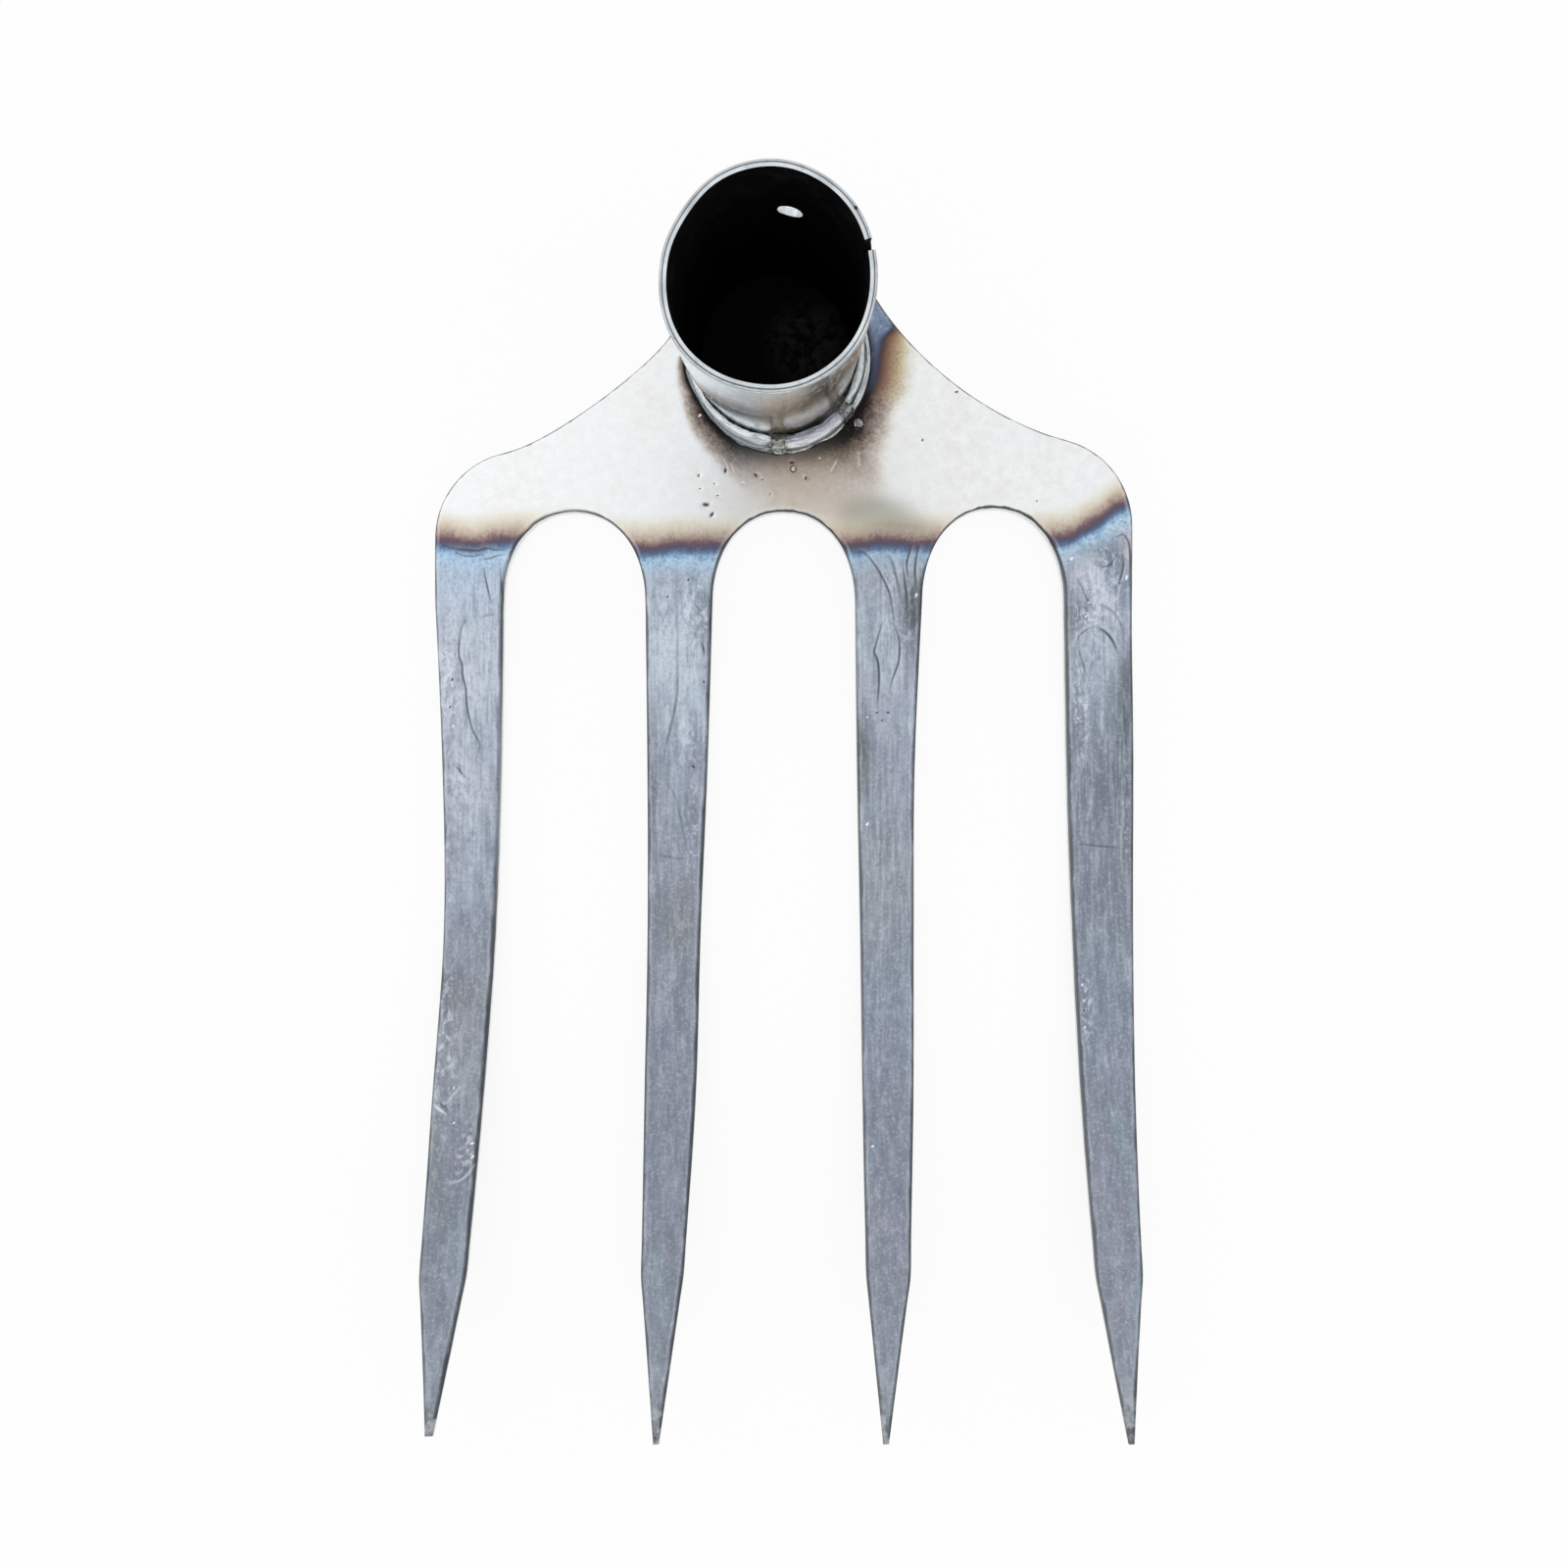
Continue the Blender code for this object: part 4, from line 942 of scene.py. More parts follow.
def forgedPlateSteel():
    # Mild steel plate: the web is ground bright, the tines keep a blue-grey forging scale, and the
    # heat of forging and welding has drawn temper colours between the two.
    add, paint, finish = newMaterial("forgedPlateSteel")
    place = add("VectorMath", {0: add("TexCoord", out="Object"), "Scale": 1000.0}, operation="SCALE")
    axes = add("SeparateXYZ", [place]).node.outputs
    x, y = axes[0], axes[1]

    # patterns, each scaled from its size in millimetres
    clouds = add("TexNoise", {"Vector": place, "Scale": 1 / 16, "Detail": 3.0})
    mottle = add("TexNoise", {"Vector": place, "Scale": 1 / 2.4, "Detail": 5.0, "Roughness": 0.62})
    grain = add("TexNoise", {"Vector": place, "Scale": 1 / 0.7, "Detail": 3.0, "Roughness": 0.6})
    alongTines = add("VectorMath", [place, (1.0, 0.22, 1.0)], operation="MULTIPLY")
    fibres = add("TexNoise", {"Vector": alongTines, "Scale": 1 / 0.8, "Detail": 3.0, "Roughness": 0.6})
    streaks = add("TexNoise", {"Vector": alongTines, "Scale": 1 / 2.2, "Detail": 5.0, "Roughness": 0.6})
    patches = add("TexNoise", {"Vector": alongTines, "Scale": 1 / 6, "Detail": 2.0})
    drawn = add("VectorMath", [place, (1.0, 0.06, 1.0)], operation="MULTIPLY")
    lines = add("TexNoise", {"Vector": drawn, "Scale": 1 / 0.8, "Detail": 3.0, "Roughness": 0.6})

    # bright ground web
    web = paint(
        "#E9EBEE",
        ([clouds, 0.35, 0.65, 0.0, 1.0], "#E6E6E2"),
        ([mottle, 0.35, 0.65, 0.0, 1.0], "#F0F3F4"),
        ([grain, 0.32, 0.48, 0.2, 0.0], "#D3D6D8"))

    # weld halo: distance beyond the toe, through a dark core and a wide fade that change round
    # the tube
    fromFoot = add("VectorMath", [place, (tube["footX"], 0.0, 0.0)], operation="SUBTRACT")
    flatten = (1.0, math.cos(math.radians(tube["lean"])), 0.0)  # the leaning tube's foot is an ellipse
    fromFoot = add("VectorMath", [fromFoot, flatten], operation="MULTIPLY")
    foot = add("SeparateXYZ", [fromFoot]).node.outputs
    radius = add("VectorMath", [fromFoot], "Value", operation="LENGTH")
    turn = add("Math", [foot[1], foot[0]], operation="ARCTAN2")
    turnShare = add("MapRange", [turn, -math.pi, math.pi, 0.0, 1.0])
    ragged = add("Math", [[mottle, 0.3, 0.7, -0.35, 0.35], [clouds, 0.3, 0.7, -0.9, 0.9]], operation="ADD")
    toe = add("FloatCurve", {"Value": turnShare}, points=toeCurve())
    toe = add("Math", [toe, weld["leg"], tube["outside"] - weld["intoTube"]], operation="MULTIPLY_ADD")
    beyond = add("Math", [radius, toe], operation="SUBTRACT")
    ragged = add("Math", [ragged, [beyond, 0.0, 8.0, 0.15, 0.65]], operation="MULTIPLY")
    raggedBeyond = add("Math", [beyond, ragged], operation="ADD")
    halo = {}
    for part in weldHalo["columns"]:
        # each curve runs from the left, round the front and up the right side, to the rear
        greatest, points = haloCurve(part)
        curve = add("FloatCurve", {"Value": turnShare}, points=points)
        halo[part] = add("Math", [curve, greatest], operation="MULTIPLY")
    inCore = add("MapRange", [raggedBeyond, halo["soot"], halo["core"], 0.0, 0.3])
    inFade = add("MapRange", [raggedBeyond, halo["core"], halo["fade"], 0.0, 0.7])
    haloPlace = add("Math", [inCore, inFade], operation="ADD")
    haloMask = add("MapRange", [haloPlace, 0.55, 1.0, 1.0, 0.0], interpolation_type="SMOOTHSTEP")
    blotches = add("TexNoise", {"Vector": place, "Scale": 1 / 5, "Detail": 2.0})
    speckle = add("Math", [[grain, 0.3, 0.7, -0.18, 0.18], [mottle, 0.3, 0.7, -0.1, 0.1]], operation="ADD")
    speckle = add("Math", [speckle, [blotches, 0.35, 0.65, -0.06, 0.06]], operation="ADD")
    speckle = add("Math", [speckle, [haloPlace, 0.0, 0.3, 0.25, 0.6]], operation="MULTIPLY")
    speckled = add("Math", [haloPlace, speckle], operation="ADD")
    haloColor = add("ValToRGB", [speckled], stops=weldHalo["colors"])
    surface = paint(web, (haloMask, haloColor))
    # on the upper right it ran through straw, rust and purple to blue
    pastBlue = add("Math", [raggedBeyond, halo["blueWidth"]], operation="SUBTRACT")
    temperRight = add("ValToRGB", [[pastBlue, -3.5, 9.5, 0.0, 1.0]], stops=weldHalo["temper"])
    inBlue = add("MapRange", [pastBlue, -1.8, -0.4, 1.0, 0.0])
    temperRight = paint(
        temperRight,
        (inBlue, [mottle, 0.38, 0.47, 0.5, 0.0], "#465266"),
        (inBlue, [mottle, 0.53, 0.64, 0.0, 0.5], "#A9B8C8"),
        ([grain, 0.38, 0.5, 0.3, 0.0], "#5A4B45"))
    surface = paint(
        surface,
        (halo["blue"], [pastBlue, 5.5, 9.5, 1.0, 0.0], temperRight),
        ([beyond, 0.0, 1.8, 0.95, 0.0], "#1E1C1D"))

    # forged tines
    down = add("MapRange", [y, -46.0, -248.0, 0.0, 1.0])
    # the scale's tone, with painted shade darkening the lower part of the tines
    tine = add("ValToRGB", [down], stops=tineTemper["tineTonesAndShade"])
    tine = paint(
        tine,
        ([patches, 0.46, 0.6, 0.0, 0.3], "#A5A3BA"),
        ([patches, 0.36, 0.48, 0.3, 0.0], "#9DAFC0"))
    stains = add("VertexColor", layer_name="stains").node.outputs
    uneven = add("MapRange", [mottle, 0.3, 0.7, 0.75, 1.15])
    stained = add("Math", [stains["Alpha"], uneven], operation="MULTIPLY", use_clamp=True)
    tine = paint(tine, (stained, stains["Color"]))
    paler = add("MapRange", [y, -90.0, -190.0, 0.28, 0.1])
    tine = paint(
        tine,
        ([streaks, 0.36, 0.48, 0.3, 0.0], "#727B89"),
        ([streaks, 0.52, 0.64, 0.0, paler], "#D3DBE6"),
        ([lines, 0.36, 0.48, 0.35, 0.0], "#707987"),
        ([lines, 0.52, 0.64, 0.0, paler], "#CFD7E3"),
        ([mottle, 0.54, 0.66, 0.0, 0.14], "#D2D9E4"),
        ([mottle, 0.34, 0.46, 0.22, 0.0], "#69727E"),
        ([fibres, 0.36, 0.47, 0.28, 0.0], "#727C89"),
        ([grain, 0.36, 0.47, 0.2, 0.0], "#78818E"),
        ([grain, 0.54, 0.64, 0.0, 0.18], "#E4E9F0"))
    # the darkest stains lie over the grain
    darkness = add("RGBToBW", [stains["Color"]])
    tine = paint(tine, (stained, [darkness, 0.1, 0.165, 0.55, 0.0], stains["Color"]))

    # temper colours at the tines' roots: distance below a line that differs from tine to tine
    side, low, high = 85.0, -50.0, -30.0  # the curve's frame in mm
    across = add("MapRange", [x, -side, side, 0.0, 1.0])
    lineCurve = add("FloatCurve", {"Value": across}, points=[
        ((px + side) / (2 * side), (py - low) / (high - low)) for px, py in tineTemper["line"]])
    lineY = add("MapRange", [lineCurve, 0.0, 1.0, low, high])
    fringe = add("Math", [[fibres, 0.3, 0.7, -0.28, 0.28], [mottle, 0.3, 0.7, -0.4, 0.4]], operation="ADD")
    below = add("Math", [add("Math", [lineY, y], operation="SUBTRACT"), fringe], operation="ADD")
    temperPlace = add("MapRange", [below, -10.0, 14.0, 0.0, 1.0])
    temper = add("ValToRGB", [temperPlace], stops=tineTemper["colors"])
    temper = paint(temper, ([below, -5.0, -1.0, 0.0, 1.0], [grain, 0.4, 0.52, 0.45, 0.0], "#5F5A62"))
    toTemper = add("MapRange", [below, -9.5, -5.0, 0.0, 1.0], interpolation_type="SMOOTHSTEP")
    onScale = add("MapRange", [below, 1.6, 3.2, 0.0, 1.0])
    toTine = add("MapRange", [below, 2.0, 9.0, 0.0, 1.0], interpolation_type="SMOOTHSTEP")
    surface = paint(
        surface,
        (stains["Alpha"], 0.9, stains["Color"]),
        (toTemper, temper),
        ([below, -4.5, -1.5, 0.9, 0.0], stains["Alpha"], stains["Color"]),
        ([mottle, 0.34, 0.46, 0.35, 0.0], onScale, "#7D97B5"),
        ([mottle, 0.52, 0.66, 0.0, 0.5], onScale, "#D3E6F4"),
        (stains["Alpha"], onScale, 0.8, stains["Color"]),  # each root's own tone shows through the blue
        (toTine, tine))

    # the outline: a dark line of painted shade along the rounded edge, a painted highlight strip inside it
    # on the tines, and a sheared side wall
    edge = add("SeparateXYZ", [add("Attribute", out="Vector", attribute_name="edge")]).node.outputs
    markLayer = add("VertexColor", layer_name="marks").node.outputs
    marks = add("SeparateColor", [markLayer["Color"]]).node.outputs
    # crumpled skin, which has no relief of its own: painted shade and highlights as small dark and bright
    # flecks that lean with the hammer's blows
    leaning = add("VectorMath", [place, (0.8, 0.45, 0.8)], operation="MULTIPLY")
    flecks = add("TexNoise", {"Vector": leaning, "Scale": 1 / 1.5, "Detail": 3.0, "Roughness": 0.6,
                              "Distortion": 1.6})
    crumpled = markLayer["Alpha"]
    surface = paint(
        surface,
        (crumpled, [flecks, 0.38, 0.47, 0.5, 0.0], "#68717F"),
        (crumpled, [flecks, 0.54, 0.63, 0.0, 0.7], "#D9E0EA"))
    onTine = add("MapRange", [y, -44.0, -56.0, 0.0, 1.0])
    waver = add("Math", [[streaks, 0.3, 0.7, -0.3, 0.3],
                         [onTine, 0.0, 1.0, 0.5, 1.0]], operation="MULTIPLY")
    unevenEdge = add("Math", [edge[0], waver], operation="ADD")
    # a strip of painted highlight along the rounded edge, broken up by this noise
    rubbed = add("TexNoise", {"Vector": alongTines, "Scale": 1 / 3.5, "Detail": 2.0})
    strip = ([unevenEdge, 0.45, 0.7, 0.0, 1.0], [unevenEdge, 0.9, 1.4, 0.25, 0.0],
             [rubbed, 0.4, 0.58, 0.15, 1.0])
    surface = paint(surface, (*strip, paint("#F3F4F3", (onTine, "#D2DAE2"))))
    # painted shade: the right-hand edge of each tine, turned away from the light, is darker and its dark
    # line wider
    rightSideShade = add("Math", [onTine, [edge[1], -0.5, 0.7, 0.0, 1.0]], operation="MULTIPLY")
    reach = add("MapRange", [add("Math", [onTine, rightSideShade], operation="ADD"), 0.0, 2.0, 0.42, 1.0])
    darkLine = add("MapRange", [unevenEdge, 0.2, reach, 0.92, 0.0])
    darkLine = add("Math", [darkLine, edge[2]], operation="MULTIPLY")
    edgeShadeTone = paint("#3A3E42", (onTine, paint("#5A5E63", (rightSideShade, "#34373B"))))
    surface = paint(surface, (darkLine, edgeShadeTone))
    normal = add("SeparateXYZ", [add("NewGeometry", out="Normal")]).node.outputs
    upright = add("Math", [normal[2]], operation="ABSOLUTE")
    wall = add("MapRange", [upright, 0.2, 0.5, 1.0, 0.0])
    # the sheared wall, from the back up to the front: bright round the web, then a dark band, partly its
    # fractured face and partly painted shade; blacker on the tines
    upTheWall = add("Math", [marks[2], [streaks, 0.3, 0.7, -0.12, 0.12]], operation="ADD")
    webWall = add("ValToRGB", [upTheWall], stops=(
        (0.0, "#FAFBFB"), (0.62, "#F0F1F1"), (0.76, "#A0A3A4"), (0.86, "#2E3031"), (0.95, "#26282A"),
        (1.0, "#3A3E40")))
    # the tines' lower wall mirrors the floor, the hammered upper wall is grey, and painted shade darkens
    # it on the right-hand side
    bright = add("MapRange", [upTheWall, 0.46, 0.58, 1.0, 0.0])
    tineWall = paint("#B9BDC1", (edge[2], paint("#7C8085", (rightSideShade, "#505358"))), (bright, "#F0F2F3"))
    surface = paint(surface, (wall, paint(webWall, (onTine, tineWall))))

    # grooves and dark pits get painted shade and the folds' lips a painted highlight; chips and ground
    # points are bare
    surface = paint(
        surface,
        (marks[0], paint("#4C3B3A", (onTine, "#2F353C"))),
        (marks[1], "#F0F3F5"),
        ([y, -238.0, -244.0, 0.0, 0.5], [mottle, 0.45, 0.6, 0.0, 1.0], "#D5D9DB"))

    # inside the socket's foot the plate is black, partly with soot and partly with painted shade deep in
    # the bore
    inBore = add("Math", [radius, tube["outside"] - 0.4], operation="LESS_THAN")
    soot = add("Math", [inBore, marks[2]], operation="MULTIPLY")
    fromFlakes = add("VectorMath", [fromFoot, (7.0, 3.0, 0.0)], "Value", operation="DISTANCE")
    flakes = ([mottle, 0.42, 0.56, 0.0, 1.0], [fromFlakes, 5.0, 12.0, 1.0, 0.0])
    surface = paint(surface, (soot, paint("#070708", (*flakes, "#50524D"))))
    # scale, soot and the painted edge shade are matt, so the edges stay dark where they are seen at a
    # slant
    shiny = add("Math", [bright, [onTine, 0.0, 1.0, 0.2, 1.0]], operation="MULTIPLY")
    mattWall = add("Math", [wall, add("Math", [1.0, shiny], operation="SUBTRACT")], operation="MULTIPLY")
    burnt = add("Math", [mattWall, darkLine], operation="MAXIMUM")
    matt = add("Math", [soot, burnt], operation="MAXIMUM")
    metallic = add("MapRange", [matt, 0.0, 1.0, 1.0, 0.0])
    roughness = add("MapRange", [mottle, 0.3, 0.7, 0.34, 0.48])
    roughness = add("Math", [roughness, add("Math", [matt, 0.45], operation="MULTIPLY")], operation="ADD")
    relief = add("Math", [add("Math", [mottle, 2.0], operation="MULTIPLY"), grain], operation="ADD")
    bump = add("Bump", {"Height": relief, "Strength": 0.35, "Distance": 0.05 * mm})
    return finish(Base_Color=surface, Metallic=metallic, Roughness=roughness, Normal=bump)


# Temper colours of the weld. Each arc has an angle, and then the width of the soot, the end of the
# dark core, the end of the whole halo, the share of the blue side, and how wide its blue is.
weldHalo = {
    "columns": ("soot", "core", "fade", "blue", "blueWidth"),
    "arcs": (
        (-180, 0, 0.4, 2.2, 0, 0), (-165, 0, 0.6, 3.2, 0, 0), (-150, 0, 2.2, 4.7, 0, 0),
        (-135, 0.3, 3.3, 6.6, 0, 0), (-120, 0.5, 4.0, 8.4, 0, 0), (-105, 0.5, 5.0, 10.3, 0, 0),
        (-90, 0.5, 3.4, 16.0, 0, 0), (-75, 0.8, 4.5, 21.5, 0, 0), (-60, 1.2, 5.8, 24.0, 0, 0),
        (-45, 2.4, 6.6, 14.5, 0, 0), (-30, 1.0, 5.2, 11.0, 0, 0), (-22, 1.0, 5.0, 10.0, 0.5, 1.4),
        (-15, 0.5, 4.4, 10.0, 0.9, 1.8), (-6, 0.5, 4.0, 10.0, 1, 2.0), (2, 0.5, 2.2, 10.0, 1, 2.6),
        (9, 0.5, 2.2, 10.0, 1, 4.0), (20, 0.5, 2.0, 10.0, 1, 8.0), (60, 0.5, 2.5, 10.0, 1, 8.0),
        (130, 0.5, 2.0, 8.0, 1, 5.0), (160, 0.3, 1.2, 4.0, 0.3, 1.0), (180, 0, 0.4, 2.2, 0, 0),
    ),
    "colors": ((0.0, "#1D1918"), (0.06, "#3B3230"), (0.13, "#5A4E4A"), (0.21, "#766962"),
              (0.31, "#90857E"), (0.45, "#ADA49D"), (0.62, "#C7C0B9"), (0.8, "#DAD5D0"),
              (1.0, "#E6E4E1")),
    "temper": ((0.0, "#7888A2"), (0.12, "#6C7C96"), (0.2, "#556279"), (0.25, "#454A5C"),
              (0.3, "#4C4247"), (0.36, "#6B5147"), (0.46, "#8C6F5D"), (0.57, "#AB927A"),
              (0.7, "#C6B999"), (0.86, "#DAD5C4"), (1.0, "#E6E4DD")),
}

# Temper colours at the tines' roots, from 10 mm above their line to 14 mm below it, and the tones of
# the scale from the roots to the tips, darkened along the lower part of the tines with painted shade
tineTemper = {
    "line": ((-85, -44.4), (-80, -44.7), (-74, -45.6), (-67, -44.6), (-50, -45.0), (-32, -46.6),
            (-26, -45.8), (-17, -45.8), (0, -45.5), (17, -45.8), (23, -44.8), (31, -45.4),
            (50, -45.0), (66, -44.2), (71, -41.8), (75, -39.6), (79, -36.6), (85, -34.4)),
    "colors": ((0.0, "#E8E8E5"), (0.11, "#E3E1D6"), (0.2, "#DAD3C4"), (0.265, "#C9BBAB"),
              (0.31, "#B29F93"), (0.345, "#917A78"), (0.375, "#705B62"), (0.405, "#5E586B"),
              (0.432, "#586480"), (0.462, "#67809F"), (0.498, "#95B6D3"), (0.54, "#ACCDE6"),
              (0.62, "#B1CEE7"), (0.75, "#B0C8DE"), (0.87, "#B0C2D6"), (1.0, "#B4C0CF")),
    "tineTonesAndShade": ((0.0, "#B0BDCD"), (0.1, "#B2BCCA"), (0.22, "#A3ABB9"), (0.32, "#949CAA"),
                 (0.42, "#89919E"), (0.56, "#7E8692"), (0.76, "#818894"), (1.0, "#8D939D")),
}


def toeCurve():
    # the share of the leg that the weld reaches over the plate, from the left round the front
    shares = {0.0: 0.46, 1.0: 0.46}
    for run in weldRuns.values():
        if run["slopes"][0] == 0 and "swell" not in run:
            angles = np.linspace(*run["angles"], len(run["legShares"]))
            for angle, leg in zip(angles, run["legShares"]):
                shares[round((angle + 180) % 360 / 360, 3)] = leg
    return sorted(shares.items())


def haloCurve(part):
    # a column's greatest value, and its curve as shares of that
    column = 1 + weldHalo["columns"].index(part)
    greatest = max(arc[column] for arc in weldHalo["arcs"])
    return greatest, [((arc[0] + 180) / 360, arc[column] / greatest) for arc in weldHalo["arcs"]]


def rolledTubeSteel():
    # Rolled mild steel sheet, rubbed bright: silver where cool, straw where the weld has warmed it, and
    # so smooth that it mirrors the bead and the tinted plate in front of it.
    add, paint, finish = newMaterial("rolledTubeSteel")
    sheet = add("Attribute", out="Vector", attribute_name="sheet")
    axes = add("SeparateXYZ", [sheet]).node.outputs
    stretched = add("VectorMath", [sheet, (0.15, 1.0, 0.0)], operation="MULTIPLY")
    rolling = add("TexNoise", {"Vector": stretched, "Scale": 1 / 3.5, "Detail": 4.0})
    stains = add("TexNoise", {"Vector": sheet, "Scale": 1 / 10, "Detail": 4.0, "Roughness": 0.6})
    color = paint(
        "#D6DDE2",
        ([stains, 0.35, 0.65, 0.0, 1.0], "#F4F7F8"),
        ([rolling, 0.38, 0.5, 0.3, 0.0], "#A9B4BE"))
    # frosty tarnish, more of it towards the rim
    frostPlace = add("VectorMath", [sheet, (1.0, 0.22, 0.0)], operation="MULTIPLY")
    frost = add("TexNoise", {"Vector": frostPlace, "Scale": 1 / 1.3, "Detail": 4.0, "Roughness": 0.6})
    frosty = add("MapRange", [axes[1], 50.0, 72.0, 0.2, 0.5])
    dull = add("Math", [frosty, [frost, 0.38, 0.5, 1.0, 0.0]], operation="MULTIPLY")
    color = paint(color, (dull, "#8A98A4"), (frosty, [frost, 0.52, 0.62, 0.0, 1.0], "#FBFCFD"))
    # bluish on the front left and straw on the front right; the sheet's x runs round the tube
    ragged = add("MapRange", [stains, 0.3, 0.7, -4.0, 4.0])
    height = add("Math", [axes[1], ragged], operation="ADD")
    angle = add("Math", [axes[0], math.radians(1) * tube["outside"]], operation="DIVIDE")
    angle = add("Math", [angle, ragged], operation="ADD")
    cool = add("Math", [[angle, 214.0, 232.0, 0.0, 1.0],
                        [angle, 257.0, 274.0, 1.0, 0.0]], operation="MULTIPLY")
    cool = add("Math", [cool, [axes[1], 42.0, 58.0, 0.2, 1.0]], operation="MULTIPLY")
    warm = ([angle, 255.0, 272.0, 0.0, 1.0], [angle, 330.0, 355.0, 1.0, 0.0],
            [height, 54.0, 70.0, 0.9, 0.1])
    color = paint(color, (cool, 0.85, "#D3E5F0"), (*warm, "#CDB592"))
    # smoke at the very foot, with painted shade where the bead meets the wall
    foot = add("MapRange", [axes[1], 4.9, [stains, 0.35, 0.65, 5.2, 6.4], 0.9, 0.0])
    foot = add("Math", [foot, [angle, 150.0, 190.0, 0.45, 1.0]], operation="MULTIPLY")
    color = paint(color, (foot, "#1A1A1A"))
    roughness = add("MapRange", [rolling, 0.3, 0.7, 0.05, 0.11])
    roughness = add("Math", [roughness, add("Math", [foot, 0.4], operation="MULTIPLY")], operation="ADD")
    roughness = add("Math", [roughness, add("Math", [dull, 0.3], operation="MULTIPLY")], operation="ADD")
    # less polished behind and towards the rim; the front mirrors the bead
    front = add("Math", [[angle, 130.0, 175.0, 0.0, 1.0],
                         [angle, 320.0, 350.0, 1.0, 0.0]], operation="MULTIPLY")
    handled = add("Math", [[axes[1], 10.0, 40.0, 0.06, 0.2],
                           [front, 0.0, 1.0, 1.0, 0.12]], operation="MULTIPLY")
    roughness = add("Math", [roughness, handled], operation="ADD")
    metallic = add("MapRange", [cool, 0.0, 1.0, 0.85, 0.3])
    bump = add("Bump", {"Height": rolling, "Strength": 0.05, "Distance": 0.02 * mm})
    return finish(Base_Color=color, Metallic=metallic, Roughness=roughness, Normal=bump)


def sawnRimSteel():
    # Sawn and filed end of the sheet: a pale bare flat, dark lines of painted shade where it meets its
    # filed bevel and low on the bevel, and a few nicks, the deepest painted black with shade.
    add, paint, finish = newMaterial("sawnRimSteel")
    sheet = add("Attribute", out="Vector", attribute_name="sheet")
    axes = add("SeparateXYZ", [sheet]).node.outputs
    depth = axes[2]
    atRim = add("MapRange", [axes[1], tube["length"] - 2.0, tube["length"] - 1.5, 0.0, 1.0])
    nicks = add("TexNoise", {"Vector": sheet, "Scale": 1 / 1.1, "Detail": 4.0, "Roughness": 0.65})
    tarnish = add("TexNoise", {"Vector": sheet, "Scale": 1 / 7, "Detail": 2.0})
    color = paint(
        "#BCC4CA",
        ([tarnish, 0.35, 0.65, 0.0, 1.0], "#E3E8EB"),
        ([nicks, 0.32, 0.46, 0.45, 0.0], "#7C858C"))
    fromLine = add("Math", [depth, tube["wall"] - tube["rimLand"]], operation="SUBTRACT")
    fromLine = add("Math", [fromLine], operation="ABSOLUTE")
    angle, deep = tube["rimNick"]
    nick = (math.radians(angle) * tube["outside"], tube["length"], deep)
    fromNick = add("VectorMath", [sheet, nick], "Value", operation="DISTANCE")
    color = paint(
        color,
        ([fromLine, 0.06, 0.2, 0.85, 0.0], atRim, "#3B4249"),
        ([depth, 0.0, 0.2, 0.6, 0.0], atRim, "#4A5158"),
        ([fromNick, 0.25, 0.55, 0.95, 0.0], "#15181A"))
    bump = add("Bump", {"Height": nicks, "Strength": 0.25, "Distance": 0.03 * mm})
    return finish(Base_Color=color, Metallic=1.0, Roughness=0.3, Normal=bump)


def sootAndShadeBore():
    # Bore left black by mill scale and weld smoke, and darkened further with painted shade deep in the
    # tube, so that it takes nearly all light that falls in.
    add, paint, finish = newMaterial("sootAndShadeBore")
    sheet = add("Attribute", out="Vector", attribute_name="sheet")
    smoke = add("TexNoise", {"Vector": sheet, "Scale": 1 / 5, "Detail": 6.0, "Roughness": 0.7})
    axes = add("SeparateXYZ", [sheet]).node.outputs
    angle = add("Math", [axes[0], math.radians(1) * tube["outside"]], operation="DIVIDE")
    # flakes in the front, where light falls in
    flakes = ([angle, 235.0, 275.0, 0.0, 1.0], [angle, 315.0, 345.0, 1.0, 0.0],
              [smoke, 0.44, 0.6, 0.0, 1.0])
    color = paint("#060607", ([smoke, 0.5, 0.7, 0.0, 1.0], "#1B1C1A"), (*flakes, "#54564F"))
    return finish(Base_Color=color, Roughness=0.75, Specular_IOR_Level=0.12)


